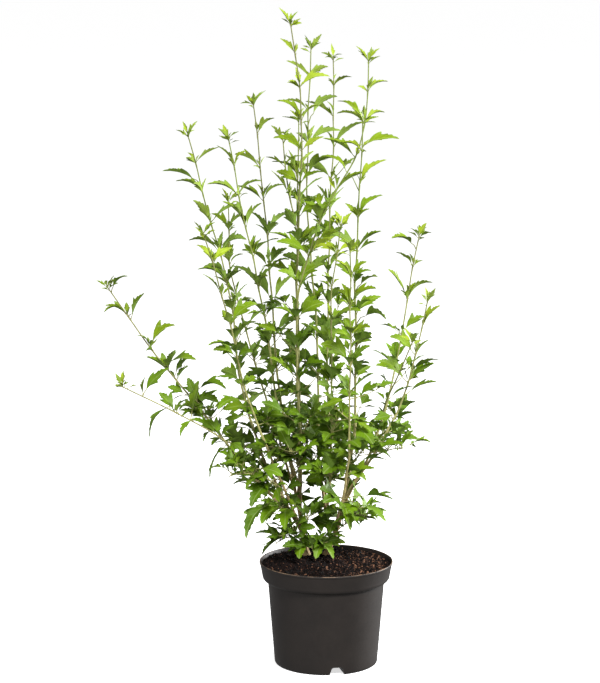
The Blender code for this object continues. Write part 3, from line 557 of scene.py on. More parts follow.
def plastic_finish(pot):
    """Matt black plastic, faintly mottled and scuffed, with a pale line on top of the rim that is
    partly dust, partly a painted highlight.
    """
    finish = Finish("pot_plastic_finish", Specular_IOR_Level=0.42)
    plastic = tuple(pot.plastic)
    cloud = finish.grain(22.0, 4.0, 0.6)
    scuff = finish.grain(90.0, 6.0, 0.75, (1.0, 1.0, 0.25)).between(0.60, 0.78)
    base = finish.blend(cloud.between(0.35, 0.65), scaled(plastic, 0.86), scaled(plastic, 1.16))
    base = finish.blend(scuff * 0.10, base, scaled(plastic, 2.6))
    # The top of the rim is painted paler: partly dust, partly a painted highlight along the lip.
    top = finish.axis("Z").between(pot.height - 0.0011, pot.height - 0.0002)
    broken = finish.grain(60.0, 4.0, 0.7).between(0.40, 0.62)
    rim_dust_and_highlight = top * broken * 0.75
    finish.colour(finish.blend(rim_dust_and_highlight, base, tuple(pot.rim_dust_and_highlight)))
    finish.rough((0.44 + 0.14 * finish.grain(140.0, 3.0)) + 0.2 * rim_dust_and_highlight)
    finish.bump(finish.grain(900.0, 2.0) + 0.4 * finish.grain(120.0, 3.0), 0.00012, 0.5)
    return finish.material


def compost_finish(compost):
    """Damp dark compost, crumbly and mottled with reddish fibre."""
    finish = Finish("compost_finish", Specular_IOR_Level=0.12)
    dark = tuple(compost.dark)
    crumb = finish.grain(420.0, 6.0, 0.7)
    fibre = finish.grain(160.0, 5.0, 0.65).between(0.50, 0.70)
    base = finish.blend(crumb.between(0.35, 0.7), scaled(dark, 0.45), scaled(dark, 1.5))
    finish.colour(finish.blend(fibre * 0.6, base, tuple(compost.brown)))
    finish.rough(0.88 + 0.1 * crumb)
    finish.bump(crumb + 0.6 * finish.cells(520.0), 0.0012, 0.9)
    return finish.material


def chip_finish(name, colour, wet):
    """Shredded bark: streaked along the grain, drier on some chips than on others."""
    finish = Finish(name, Specular_IOR_Level=0.14)
    streak = finish.grain(260.0, 4.0, 0.6, (1.0, 3.5, 3.5))
    lot = finish.grain(75.0, 2.0)
    base = finish.blend(streak.between(0.3, 0.7), scaled(colour, 0.55), scaled(colour, 1.25))
    finish.colour(finish.blend(lot.between(0.35, 0.65) * 0.55, base, scaled(colour, wet)))
    finish.rough(0.72 + 0.2 * streak)
    finish.bump(streak, 0.0005, 0.8)
    return finish.material


def bark_finish(name, limb, woody):
    """Tan bark low down that turns green with height, streaked and dotted with pores."""
    finish = Finish(name, Specular_IOR_Level=0.3)
    height = finish.axis("Z")
    streak = finish.grain(520.0, 5.0, 0.65, (1.0, 1.0, 0.10))
    cloud = finish.grain(70.0, 3.0, 0.6, (1.0, 1.0, 0.4))
    pores = 1 - finish.cells(900.0, (1.0, 1.0, 0.35)).between(0.10, 0.26)
    old = finish.blend(streak.between(0.36, 0.62), tuple(limb.ridge), tuple(limb.bark))
    cane = finish.blend(streak.between(0.34, 0.64), scaled(limb.cane, 0.66), tuple(limb.cane))
    lot = finish.grain(16.0, 0.0, 0.5, (1.0, 1.0, 0.03)).between(0.40, 0.62)
    fresh = finish.blend(cloud.between(0.35, 0.7), tuple(limb.shoot), scaled(limb.shoot, 1.25))
    green = finish.blend(lot, mixed(scaled(limb.cane, 0.34), limb.shoot, 0.4), fresh)
    wander = height + 0.10 * (cloud - 0.5)
    if woody:
        base = finish.blend(wander.between(0.27, 0.42), old, cane)
        base = finish.blend(wander.between(0.50, 0.78), base, green)
    else:
        dull = mixed(scaled(limb.shoot, 0.55), scaled(limb.cane, 0.5), 0.5)
        twig = finish.blend(streak.between(0.34, 0.64), dull, cane)
        base = finish.blend(wander.between(0.42, 0.78), twig, green)
    mark = pores * (1 - wander.between(0.5, 0.8)) * 0.35
    finish.colour(finish.blend(mark, base, scaled(limb.bark, 1.25)))
    finish.rough(0.62 + 0.25 * streak)
    finish.bump(streak + 0.35 * pores, 0.0004, 0.6)
    return finish.material


def leaf_finish(name, colour, gloss, shine, pale_veins):
    """A leaf's face: softly mottled, with a paler midrib and side veins."""
    finish = Finish(name, Specular_IOR_Level=shine)
    along, across = finish.on_leaf()
    away = abs(across - 0.5)
    midrib = 1 - away.between(0.004, 0.020)
    fan = abs(((along - away * 1.15) * 7.0).fraction() - 0.5)
    veins = (1 - fan.between(0.02, 0.11)) * (1 - away.between(0.22, 0.34))
    veins = (midrib + 0.3 * veins).clipped()
    mottle = finish.grain(48.0, 4.0, 0.6)
    base = finish.blend(mottle.between(0.32, 0.68), scaled(colour, 0.80), scaled(colour, 1.16))
    finish.colour(finish.blend(veins * pale_veins, base, mixed(colour, VEIN_TINT, 0.6)))
    finish.rough((gloss - 0.08) + 0.16 * mottle)
    finish.bump(0.5 * finish.grain(420.0, 3.0) - veins, 0.00035, 0.5)
    return finish.material


def floor_finish(colour):
    """A plain pale floor that glows a little, so that no edge of it shows."""
    finish = Finish("floor_finish", Specular_IOR_Level=0.15)
    cloud = finish.grain(0.8, 3.0)
    finish.colour(finish.blend(cloud, scaled(colour, 0.995), colour))
    finish.rough(0.85 + 0.05 * cloud)
    finish.feed(finish.shader.inputs["Emission Color"], colour)
    finish.feed(finish.shader.inputs["Emission Strength"], FLOOR_GLOW)
    return finish.material


# ---- making meshes ---------------------------------------------------------------------


def finished_object(name, mesh, nodes):
    """Adds a piece that rides on the plant's body and stands for these nodes."""
    piece = bpy.data.objects.new(name, mesh)
    bpy.context.scene.collection.objects.link(piece)
    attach(piece, "root")
    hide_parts(*nodes)
    return piece


def mesh_from(bm, name):
    """The mesh of a bmesh that is done with."""
    mesh = bpy.data.meshes.new(name)
    bm.to_mesh(mesh)
    bm.free()
    return mesh


def smooth(mesh, degrees):
    """Smooth shading, apart from edges sharper than this angle."""
    mesh.shade_smooth()
    mesh.set_sharp_from_angle(angle=math.radians(degrees))


def turned(profile, steps):
    """A profile of (radius, height) points spun once about Z."""
    bm = bmesh.new()
    verts = [bm.verts.new((r, 0.0, z)) for r, z in profile]
    edges = [bm.edges.new(pair) for pair in zip(verts, verts[1:])]
    bmesh.ops.spin(bm, geom=verts + edges, cent=(0, 0, 0), axis=(0, 0, 1),
                   angle=math.tau, steps=steps, use_merge=True)
    bmesh.ops.remove_doubles(bm, verts=bm.verts, dist=0.00002)
    bmesh.ops.recalc_face_normals(bm, faces=bm.faces)
    return bm


class Pattern:
    """A small mesh that is repeated: its places, faces, leaf map and finish numbers."""

    def __init__(self, bm):
        bm.verts.index_update()
        self.places = np.array([v.co for v in bm.verts])
        self.faces = [[v.index for v in face.verts] for face in bm.faces]
        self.finish = [face.material_index for face in bm.faces]
        layer = bm.loops.layers.uv.active
        corners = [corner for face in bm.faces for corner in face.loops]
        self.map = [tuple(c[layer].uv) if layer else (0.0, 0.0) for c in corners]
        bm.free()


class Gathering:
    """Copies of patterns joined into one mesh."""

    def __init__(self):
        self.places = []
        self.faces = []
        self.finish = []
        self.map = []
        self.count = 0

    def add(self, pattern, places):
        self.places.append(places)
        self.faces += [[i + self.count for i in face] for face in pattern.faces]
        self.finish += pattern.finish
        self.map += pattern.map
        self.count += len(places)

    def mesh(self, name, materials, degrees):
        mesh = bpy.data.meshes.new(name)
        mesh.from_pydata(np.concatenate(self.places).tolist(), [], self.faces)
        layer = mesh.uv_layers.new(name="leaf")
        layer.data.foreach_set("uv", np.array(self.map, dtype=np.float32).ravel())
        mesh.polygons.foreach_set("material_index", self.finish)
        for material in materials:
            mesh.materials.append(material)
        smooth(mesh, degrees)
        mesh.update()
        return mesh


@functools.lru_cache(maxsize=None)
def tube_pattern(rings, sides):
    """A closed tube of one unit's radius along X, its rings at 0, 1, 2 and so on."""
    bm = bmesh.new()
    facing_x = Matrix.Rotation(math.pi / 2, 4, "Y")
    bmesh.ops.create_circle(bm, cap_ends=False, segments=sides, radius=1.0, matrix=facing_x)
    first = list(bm.edges)
    last = first
    for _ in range(rings - 1):
        grown = bmesh.ops.extrude_edge_only(bm, edges=last)["geom"]
        moved = [g for g in grown if isinstance(g, bmesh.types.BMVert)]
        bmesh.ops.translate(bm, verts=moved, vec=(1, 0, 0))
        last = [g for g in grown if isinstance(g, bmesh.types.BMEdge)]
    bmesh.ops.contextual_create(bm, geom=first)
    bmesh.ops.contextual_create(bm, geom=last)
    bmesh.ops.recalc_face_normals(bm, faces=bm.faces)
    return Pattern(bm)


def at_rings(pattern, vectors):
    """For each vertex of a tube the vector of its ring, from one vector for each ring."""
    ring = np.rint(pattern.places[:, 0]).astype(int)
    return np.array([tuple(v) for v in vectors])[ring]


def sweep(points, radii, sides):
    """The tube pattern and its vertices' places along a course."""
    ways = [(b - a).normalized() for a, b in zip(points, points[1:])]
    ways = [ways[0]] + [(a + b).normalized() for a, b in zip(ways, ways[1:])] + [ways[-1]]
    left = ways[0].orthogonal().normalized()
    lefts = [left]
    for before, after in zip(ways, ways[1:]):
        left = before.rotation_difference(after) @ left
        lefts.append(left)
    fronts = [way.cross(left) for way, left in zip(ways, lefts)]
    pattern = tube_pattern(len(points), sides)
    out = at_rings(pattern, lefts) * pattern.places[:, 1:2]
    out += at_rings(pattern, fronts) * pattern.places[:, 2:3]
    return pattern, at_rings(pattern, points) + out * at_rings(pattern, [(r,) for r in radii])


def half_leaf(outline, cuts):
    """Half a flat blade, cut across so that it can bend."""
    bm = bmesh.new()
    verts = [bm.verts.new((x, y, 0.0)) for x, y in outline]
    edges = [bm.edges.new(pair) for pair in zip(verts, verts[1:] + verts[:1])]
    bmesh.ops.contextual_create(bm, geom=edges)
    for x in cuts:
        whole = list(bm.verts) + list(bm.edges) + list(bm.faces)
        bmesh.ops.bisect_plane(bm, geom=whole, dist=0.0001, plane_co=(x, 0, 0),
                               plane_no=(1, 0, 0))
    return bm


@functools.lru_cache(maxsize=None)
def leaf_pattern(kind):
    """A leaf of one unit's length: two halves and two faces, which meet along its edge."""
    bm = half_leaf(*LEAF_KINDS[kind])
    whole = list(bm.verts) + list(bm.edges) + list(bm.faces)
    bmesh.ops.mirror(bm, geom=whole, axis="Y", merge_dist=0.00001)
    bmesh.ops.remove_doubles(bm, verts=bm.verts, dist=0.00001)
    bmesh.ops.recalc_face_normals(bm, faces=bm.faces)
    if sum(face.normal.z for face in bm.faces) < 0:
        bmesh.ops.reverse_faces(bm, faces=bm.faces)
    upper = list(bm.faces)
    copied = bmesh.ops.duplicate(bm, geom=upper)["geom"]
    lower = [g for g in copied if isinstance(g, bmesh.types.BMFace)]
    bmesh.ops.reverse_faces(bm, faces=lower)
    for faces, half in ((upper, 0.5), (lower, -0.5)):
        middle = {v for face in faces for v in face.verts if abs(v.co.y) < 1e-6 and 0 < v.co.x < 1}
        bmesh.ops.translate(bm, verts=list(middle), vec=(0, 0, half))
    bmesh.ops.remove_doubles(bm, verts=bm.verts, dist=0.00001)
    layer = bm.loops.layers.uv.new("leaf")
    for face in bm.faces:
        face.material_index = 1 if face.normal.z < 0 else 0
        for corner in face.loops:
            corner[layer].uv = (corner.vert.co.x, 0.5 + corner.vert.co.y)
    return Pattern(bm)


# ---- the plant's own rule --------------------------------------------------------------


def stations(values, t):
    """A smooth value at t (0..1) through values that stand at equal steps."""
    last = len(values) - 1
    where = min(max(t, 0.0), 1.0) * last
    i = min(int(where), last - 1)
    u = where - i
    p1, p2 = values[i], values[i + 1]
    p0 = values[i - 1] if i > 0 else 2 * p1 - p2
    p3 = values[i + 2] if i + 2 <= last else 2 * p2 - p1
    a = 2 * p1
    b = p2 - p0
    c = 2 * p0 - 5 * p1 + 4 * p2 - p3
    d = 3 * p1 - p0 - 3 * p2 + p3
    return 0.5 * (a + b * u + c * u * u + d * u * u * u)


class Limb:
    """The centre line and radius of a trunk or cane, by height."""

    def __init__(self, foot, tip_z, xs, ys, r_foot, r_tip):
        self.z0 = foot.z
        self.z1 = tip_z
        self.xs = [foot.x] + xs
        self.ys = [foot.y] + ys
        self.r_foot = r_foot
        self.r_tip = r_tip

    def at(self, z):
        t = (z - self.z0) / (self.z1 - self.z0)
        return Vector((stations(self.xs, t), stations(self.ys, t), z))

    def radius(self, z):
        t = min(max((z - self.z0) / (self.z1 - self.z0), 0.0), 1.0)
        return self.r_tip + (self.r_foot - self.r_tip) * (1 - t) ** 1.5


def row_limb(limbs, row):
    """The Limb that a row of CANES or SIDE_SHOOTS describes."""
    parent, foot_z, tip_z, xs, y_mid, y_tip, r_foot = row[:7]
    foot = limbs[parent].at(foot_z * MM)
    xs = [x * MM for x in xs]
    ys = [y_mid * MM, y_tip * MM]
    return Limb(foot, tip_z * MM - TIP_LEAVES, xs, ys, r_foot * MM, TIP_R)


def limb_table():
    """Every trunk and cane as a Limb, parents before the canes that leave them."""
    limbs = {}
    for name, (foot, tip, r_foot, r_tip) in TRUNKS.items():
        start = Vector((foot[0] * MM, foot[1] * MM, TRUNK_FOOT_Z))
        xs, ys = [tip[0] * MM], [tip[1] * MM]
        limbs[name] = Limb(start, tip[2] * MM, xs, ys, r_foot * MM, r_tip * MM)
    for letter, row in CANES.items():
        limbs["cane_" + letter] = row_limb(limbs, row)
    return limbs


def zigzag(index):
    """The sideways step of a cane's node, which turns by a golden angle."""
    angle = 2.39996 * index
    return Vector((math.cos(angle), math.sin(angle), 0.0)) * ZIGZAG


def heights(z0, z1, step):
    """Even heights from the first to the second, about a step apart."""
    count = max(1, round((z1 - z0) / step))
    return [z0 + (z1 - z0) * i / count for i in range(count + 1)]


def some_angle(rng, low, high):
    """An angle in radians, drawn between two that are given in degrees."""
    return math.radians(rng.uniform(low, high))


def toward(azimuth, angle):
    """The direction at an azimuth and an angle above the horizontal."""
    flat = math.cos(angle)
    return Vector((flat * math.cos(azimuth), flat * math.sin(azimuth), math.sin(angle)))


def side_azimuth(letter, rng):
    """Where a leaf points that grows on this side of its cane."""
    return math.radians(SIDE_AZIMUTH[letter] + rng.uniform(-34, 34))


def node_leaves(letter, rank, full, rng):
    """(azimuth, lift, length, droop) of the leaves at one node, the rank counted from the tip."""
    size = min(1.0, 0.52 + 0.24 * rank) * full * rng.uniform(0.86, 1.12)
    sides = ["L", "R"] if letter == "B" else [letter]
    leaves = []
    for k, side in enumerate(sides):
        lift = some_angle(rng, 36, 64)
        droop = some_angle(rng, 50, 125)
        leaves.append((side_azimuth(side, rng), lift, size * (1.0 - 0.18 * k), droop))
    if rng.random() < 0.45:
        azimuth = leaves[0][0] + math.radians(rng.choice((-1, 1)) * rng.uniform(80, 150))
        lift = some_angle(rng, 48, 74)
        leaves.append((azimuth, lift, size * rng.uniform(0.42, 0.62), math.radians(35)))
    return leaves


def tip_leaves(full, rng):
    """The small upright leaves round a shoot's tip."""
    start = rng.uniform(0, 360)
    leaves = []
    for k in range(3):
        azimuth = math.radians(start + 130 * k + rng.uniform(-20, 20))
        length = full * (0.50 - 0.09 * k) * rng.uniform(0.9, 1.1)
        leaves.append((azimuth, math.radians(62 - 8 * k), length, math.radians(30)))
    return leaves


def shoot_nodes(limb, z0):
    """A shoot's node places from its foot to its tip, and its radii there."""
    count = max(2, round((limb.z1 - z0) / NODE_PITCH))
    points, radii = [], []
    for i in range(count + 1):
        z = z0 + (limb.z1 - z0) * i / count
        points.append(limb.at(z) + (zigzag(i) if 0 < i < count else Vector()))
        radii.append(limb.radius(z))
    return points, radii


def spray_points(foot, reach, bow):
    """A twig that leaves its limb and bows up on the way to its tip."""
    count = max(4, round(reach.length / SPRAY_PITCH))
    points = []
    for i in range(count + 1):
        t = i / count
        lift = Vector((0, 0, bow * 4 * t * (1 - t)))
        points.append(foot + reach * t + lift + zigzag(i) * (1 if 0 < i < count else 0))
    return points


def spray_leaf(heading, droop, index, rank, full, rng):
    """The leaf at a spray's node: to one side and the other by turns, hanging a little."""
    side = 1 if index % 2 else -1
    azimuth = heading + side * some_angle(rng, 35, 85)
    lift = some_angle(rng, 15, 50) - droop * 0.3
    size = min(1.0, 0.66 + 0.2 * rank) * full * rng.uniform(0.8, 1.08)
    return azimuth, lift, size, droop


# ---- what grows on from it -------------------------------------------------------------


def bark_noise(place, across, along):
    """Noise at a place on an upright limb, its scale set across the limb and along it."""
    return noise.noise(Vector((place[0] * across, place[1] * across, place[2] * along)))


class Plant:
    """Everything that grows: tubes of bark, green tubes, and leaves by tone."""

    def __init__(self, thickness, relief):
        self.bark = Gathering()
        self.green = Gathering()
        self.leaves = {tone: Gathering() for tone in TONES}
        self.thickness = thickness
        self.relief = relief

    def bark_tube(self, points, radii, sides):
        """A limb with ridges that run along it and swell round its nodes."""
        pattern, places = sweep(points, radii, sides)
        raised = []
        for place, centre in zip(places, at_rings(pattern, points)):
            out = place - centre
            radius = float(np.linalg.norm(out))
            rough = bark_noise(place, *BARK_RIDGES) + 0.4 * bark_noise(place, *BARK_GRIT)
            share = min(1.0, radius / FULL_RELIEF_R)
            raised.append(out / radius * rough * self.relief * share)
        self.bark.add(pattern, places + np.array(raised))

    def green_tube(self, points, radii, sides):
        self.green.add(*sweep(points, radii, sides))

    def leaf(self, root, leaf, tone, rng):
        """A stalk and the blade at its end, which arches over and folds along its midrib."""
        azimuth, lift, length, droop = leaf
        high = high_habit(root.z)
        if length >= STALKED_LEAF:
            share, start, curl = 0.24, lift - droop * 0.22, droop * 0.85
        else:
            share, start, curl = 0.17 - 0.10 * high, lift + math.radians(8), droop * 0.60
        stalk_way = toward(azimuth, lift)
        end = root + stalk_way * share * length
        bend = toward(azimuth, (lift + start) / 2) * share * length
        middle, end = root.lerp(end, 0.5), (end + root + bend) / 2
        points = [root, middle, end, end + toward(azimuth, start) * 0.10 * length]
        thick = 0.00042 + 0.006 * length
        radii = [thick * 1.15, thick, thick * 0.9, thick * 0.35]
        self.green_tube(points, radii, STALK_SIDES)
        slim = SLIM_HIGH * high if length >= SLIM_LEAF else 1 - (1 - SLIM_HIGH) * high
        kind = "long" if rng.random() < slim else "lobed"
        if length < SMALL_LEAF:
            kind = "small"
        self.blade(end, azimuth, start, curl, length * (1 - share), kind, tone, rng)

    def aimed_leaf(self, root, tip, curl, tone, rng):
        """A leaf whose blade ends at a given place, on as long a stalk as that takes."""
        way = tip - root
        azimuth = math.atan2(way.y, way.x)
        share = max(0.10, 1 - NAMED_BLADE / way.length)
        base = root + way * share + Vector((0, 0, 0.12 * curl * way.length))
        chord = tip - base
        start = math.atan2(chord.z, math.hypot(chord.x, chord.y)) + curl / 2
        length = chord.length * (curl / 2) / math.sin(curl / 2)
        middle = root.lerp(base, 0.5) + Vector((0, 0, 0.05 * curl * way.length))
        points = [root, middle, base, base + toward(azimuth, start) * 0.10 * length]
        self.green_tube(points, [0.0010, 0.0008, 0.0007, 0.0003], SPUR_SIDES)
        kind = "long" if root.z > SHOOT_FROM_Z or curl > HANGING_CURL else "lobed"
        self.blade(base, azimuth, start, curl, length, kind, tone, rng)

    def blade(self, base, azimuth, start, curl, length, kind, tone, rng):
        """Bends the leaf's pattern into an arc that leaves its base at the start's angle."""
        pattern = leaf_pattern(kind)
        x, y, z = pattern.places.T
        high = high_habit(base.z)
        y = y * (1 - 0.26 * high) * rng.uniform(0.78, 1.10)
        fold = rng.uniform(0.12, 0.60) + 0.20 * high
        wave = rng.uniform(0.05, 0.16) * np.sin(9 * x + rng.uniform(0, math.tau))
        skew = rng.uniform(-0.045, 0.045) * np.sin(x * math.pi)
        bend = curl if abs(curl) > 0.02 else 0.02
        ahead = np.array((math.cos(azimuth), math.sin(azimuth), 0.0))
        left = np.array((-math.sin(azimuth), math.cos(azimuth), 0.0))
        up = np.array((0.0, 0.0, 1.0))
        angle = start - bend * x
        run = (math.sin(start) - np.sin(angle)) / bend
        rise = (np.cos(angle) - math.cos(start)) / bend
        outward = Vector((base.x - AXIS_X, base.y - AXIS_Y, 0.0)).normalized()
        roll = rng.uniform(-0.5, 0.5) - 0.7 * float(left[0] * outward.x + left[1] * outward.y)
        flat = np.cos(angle)[:, None] * up - np.sin(angle)[:, None] * ahead
        across = math.cos(roll) * left + math.sin(roll) * flat
        normal = math.cos(roll) * flat - math.sin(roll) * left
        lie = np.abs(y) * (math.sin(fold) + wave) - 0.2 * curl * y * y
        lie = lie + z * self.thickness / length
        places = run[:, None] * ahead + rise[:, None] * up
        places = places + across * (y * math.cos(fold) + skew)[:, None] + normal * lie[:, None]
        self.leaves[tone].add(pattern, np.array(tuple(base)) + places * length)

    def awl(self, root, azimuth, lift, length):
        """A stipule or bud scale: a fine point beside a node."""
        way = toward(azimuth, lift)
        points = [root, root + way * length * 0.5, root + way * length]
        self.green_tube(points, [0.00055, 0.00040, 0.00008], AWL_SIDES)


def high_habit(height):
    """0 where leaves are broad and hang a little, 1 where they are slim and stand up."""
    return min(1.0, max(0.0, (height - BROAD_TO_Z) / (SLIM_FROM_Z - BROAD_TO_Z)))


def off_axis(place):
    """How far a place is from the line round which the shrub spreads."""
    return math.hypot(place.x - AXIS_X, place.y - AXIS_Y)


def tone_at(place, rank, rng):
    """Which green a leaf takes, by its height, its rank from the tip and chance."""
    height = place.z + rng.uniform(-TONE_WANDER, TONE_WANDER)
    level = 1 if height > LIGHT_FROM_Z else 2 if height > MID_FROM_Z else 3
    if rank <= 1 and place.z > YOUNG_TIPS_Z:
        level -= 1
    if rank == 0 and place.z > YOUNG_TIPS_Z and rng.random() < 0.6:
        level = 0
    # Leaves in the heart of the shrub take a darker green as painted shade.
    in_heart = place.z < SHADE_TO_Z and off_axis(place) < HEART_R
    if in_heart and rng.random() < (0.6 if place.z < DEEP_SHADE_Z else 0.4):
        level += 1
    if rng.random() < 0.15:
        level -= 1
    lowest = 0 if place.z > PALE_FROM_Z else 2
    return TONES[min(max(level, lowest), len(TONES) - 1)]


def resampled(points, radii, step):
    """The course carried smoothly through its points, at even short steps."""
    length = sum((b - a).length for a, b in zip(points, points[1:]))
    count = max(2, round(length / step))
    shares = [i / count for i in range(count + 1)]
    return [stations(points, t) for t in shares], [stations(radii, t) for t in shares]


def with_nodes(points, radii, nodes, swell):
    """Radii that swell at the nodes."""
    out = []
    for point, radius in zip(points, radii):
        near = min((point - n).length for n in nodes) if nodes else 1.0
        out.append(radius + swell * math.exp(-((near / SWELL_REACH) ** 2)))
    return out


def grow_trunks(plant, limbs):
    """Both trunks, which flare where they leave the compost."""
    for name in TRUNKS:
        limb = limbs[name]
        points, radii = [limb.at(limb.z0) - Vector((0, 0, TRUNK_ROOT))], [FLARE_R * 1.12]
        for z in heights(limb.z0, limb.z1, TRUNK_STEP):
            t = min(1.0, (z - limb.z0) / FLARE_H)
            points.append(limb.at(z))
            radii.append(limb.radius(z) + (FLARE_R - limb.r_foot) * (1 - t) ** 2)
        plant.bark_tube(points, radii, TRUNK_SIDES)


def grow_canes(plant, limbs):
    """The bare lower length of every cane, from inside its parent to its shoot."""
    for letter, row in CANES.items():
        limb = limbs["cane_" + letter]
        parent = limbs[row[0]]
        zs = heights(limb.z0, SHOOT_FROM_Z, LIMB_STEP)
        points = [limb.at(z) for z in zs]
        for i in range(1, len(points) - 1):
            points[i] += zigzag(i)
        radii = [limb.radius(z) for z in zs]
        if abs(limb.z0 - parent.z1) < 1e-6:
            radii[0] = parent.r_tip
        nodes = points[1:-1]
        points, radii = resampled(points, radii, CANE_STEP)
        plant.bark_tube(points, with_nodes(points, radii, nodes, CANE_SWELL), CANE_SIDES)


def spur(plant, root, azimuth, lift, length, count, full, rank, rng):
    """A short side twig with leaves along it and round its end."""
    way = toward(azimuth, lift)
    end = root + way * length + Vector((0, 0, length * 0.2))
    middle = root.lerp(end, 0.55) + Vector((0, 0, -length * 0.05))
    plant.green_tube([root, middle, end], [0.0010, 0.0008, 0.0006], SPUR_SIDES)
    for k in range(count):
        place = end if k < 3 else middle
        turn = azimuth + math.radians((0, -70, 60, -80, 75)[k] + rng.uniform(-28, 28))
        size = full * rng.uniform(0.72, 1.08) * (1.1 if k == 0 else 0.9)
        leaf = (turn, lift + some_angle(rng, -25, 30), size, some_angle(rng, 30, 90))
        plant.leaf(place, leaf, tone_at(place, rank, rng), rng)


def dress_node(plant, place, along, rank, out, rng):
    """The fine growth of a node: stipules, a tuft in its axil and sometimes a spur."""
    for k in (-1, 1):
        turn = out + k * some_angle(rng, 55, 100)
        plant.awl(place, turn, some_angle(rng, 50, 75), rng.uniform(0.005, 0.009))
    for k in range(rng.choice((1, 2, 2, 3))):
        turn = out + some_angle(rng, -150, 150)
        size = rng.uniform(0.015, 0.026 if rank < 2 else 0.034)
        leaf = (turn, some_angle(rng, 42, 80), size, some_angle(rng, 20, 80))
        root = place + along * 0.003 * (1 + k)
        plant.leaf(root, leaf, tone_at(place, rank - 1, rng), rng)
    if rank >= 3 and rng.random() < 0.24 + 0.03 * rank:
        turn = out + some_angle(rng, 50, 310)
        spur(plant, place, turn, some_angle(rng, 20, 62),
             rng.uniform(0.012, 0.024 + 0.003 * rank), rng.choice((3, 3, 4)),
             rng.uniform(0.030, 0.048), rank, rng)


def grow_shoot(plant, limb, z0, sides, full, dice, twigs=()):
    """A leafy shoot: its stem, its tip's leaves, its nodes' leaves and their fine growth."""
    rng, fine = dice
    courses = [(shoot_nodes(limb, z0), sides)]
    for foot_z, tip_z, xs, ys, letters in twigs:
        foot = limb.at(foot_z * MM)
        xs, ys = [x * MM for x in xs], [y * MM for y in ys]
        branch = Limb(foot, tip_z * MM - TIP_LEAVES, xs, ys, BRANCH_R, TIP_R)
        courses.append((shoot_nodes(branch, foot.z), letters))
    for (points, radii), _ in courses:
        nodes = points[1:-1]
        stem, stem_radii = resampled(points, radii, STEM_STEP)
        plant.green_tube(stem, with_nodes(stem, stem_radii, nodes, STEM_SWELL), STEM_SIDES)
    for (points, _), _ in courses:
        tip, along = points[-1], (points[-1] - points[-2]).normalized()
        for k, (azimuth, lift, length, droop) in enumerate(tip_leaves(full, rng)):
            leaf = (azimuth, lift - math.radians(9 + 8 * k), length * 0.93,
                    droop * fine.uniform(0.6, 1.8))
            plant.leaf(tip - along * ROOT_UP * (1 + k), leaf, "young", fine)
        for k in range(TUFT_LEAVES):
            leaf = (math.radians(62 * k) + some_angle(fine, -25, 25), some_angle(fine, 10, 70),
                    fine.uniform(0.014, 0.030), some_angle(fine, 5, 70))
            plant.leaf(tip - along * 0.0012 * k, leaf, fine.choice(("young", "light")), fine)
        plant.awl(tip, fine.uniform(0, math.tau), math.radians(80), 0.008)
    for (points, _), letters in courses:
        count = len(points) - 1
        for i in range(1, count):
            rank = count - i - 1
            along = (points[i + 1] - points[i]).normalized()
            leaves = node_leaves(letters[rank % len(letters)], rank, full, rng)
            for k, leaf in enumerate(leaves):
                root = points[i] + along * ROOT_UP * (1 + k)
                size = leaf[2] * max(0.92, 1.30 - 0.16 * rank) * fine.uniform(0.88, 1.06)
                leaf = (leaf[0], leaf[1], size, leaf[3])
                plant.leaf(root, leaf, tone_at(root, rank, fine), fine)
            for turn in (180, 90, -90):
                if fine.random() < (0.70 if points[i].z < DENSE_TO_Z else 0.32):
                    azimuth, lift, length, droop = leaves[0]
                    turn = azimuth + math.radians(turn + fine.uniform(-50, 50))
                    leaf = (turn, lift + fine.uniform(-0.10, 0.35),
                            length * fine.uniform(0.4, 0.85), droop)
                    plant.leaf(points[i], leaf, tone_at(points[i], rank, fine), fine)
            dress_node(plant, points[i], along, rank, leaves[0][0], fine)


def grow_spray(plant, limb, height, reach, bow, droop, full, dice):
    """A low spray: a side twig with leaves and spurs all the way along."""
    rng, fine = dice
    axis = limb.at(height * MM)
    reach = Vector(reach) * MM
    droop = math.radians(droop)
    heading = math.atan2(reach.y, reach.x)
    points = spray_points(axis, reach, bow * MM)
    radii = [0.0013 - 0.0005 * i / (len(points) - 1) for i in range(len(points))]
    plant.green_tube(*resampled(points, radii, TWIG_STEP), TWIG_SIDES)
    tip, along = points[-1], (points[-1] - points[-2]).normalized()
    for k, leaf in enumerate(tip_leaves(full, rng)):
        plant.leaf(tip - along * ROOT_UP * (1 + k), leaf, tone_at(tip, 0, fine), fine)
    for i in range(1, len(points) - 1):
        rank = len(points) - 2 - i
        along = (points[i + 1] - points[i]).normalized()
        azimuth, lift, size, droop = spray_leaf(heading, droop, i, rank, full, rng)
        root = points[i] + along * ROOT_UP
        if fine.random() < 0.45:
            plant.leaf(root, (azimuth, lift, size * 0.78, droop), tone_at(root, rank, fine), fine)
        else:
            spur(plant, root, azimuth, lift, size * 0.40, 3, size * 0.58, rank, fine)
        other = heading - (azimuth - heading) + some_angle(fine, -25, 25)
        lift += some_angle(fine, -10, 25)
        if fine.random() < 0.55:
            spur(plant, points[i], other, lift, size * fine.uniform(0.2, 0.4), 3, size * 0.56,
                 rank, fine)
        else:
            plant.leaf(points[i], (other, lift, size * 0.6, droop),
                       tone_at(root, rank, fine), fine)
        dress_node(plant, points[i], along, rank, azimuth, fine)


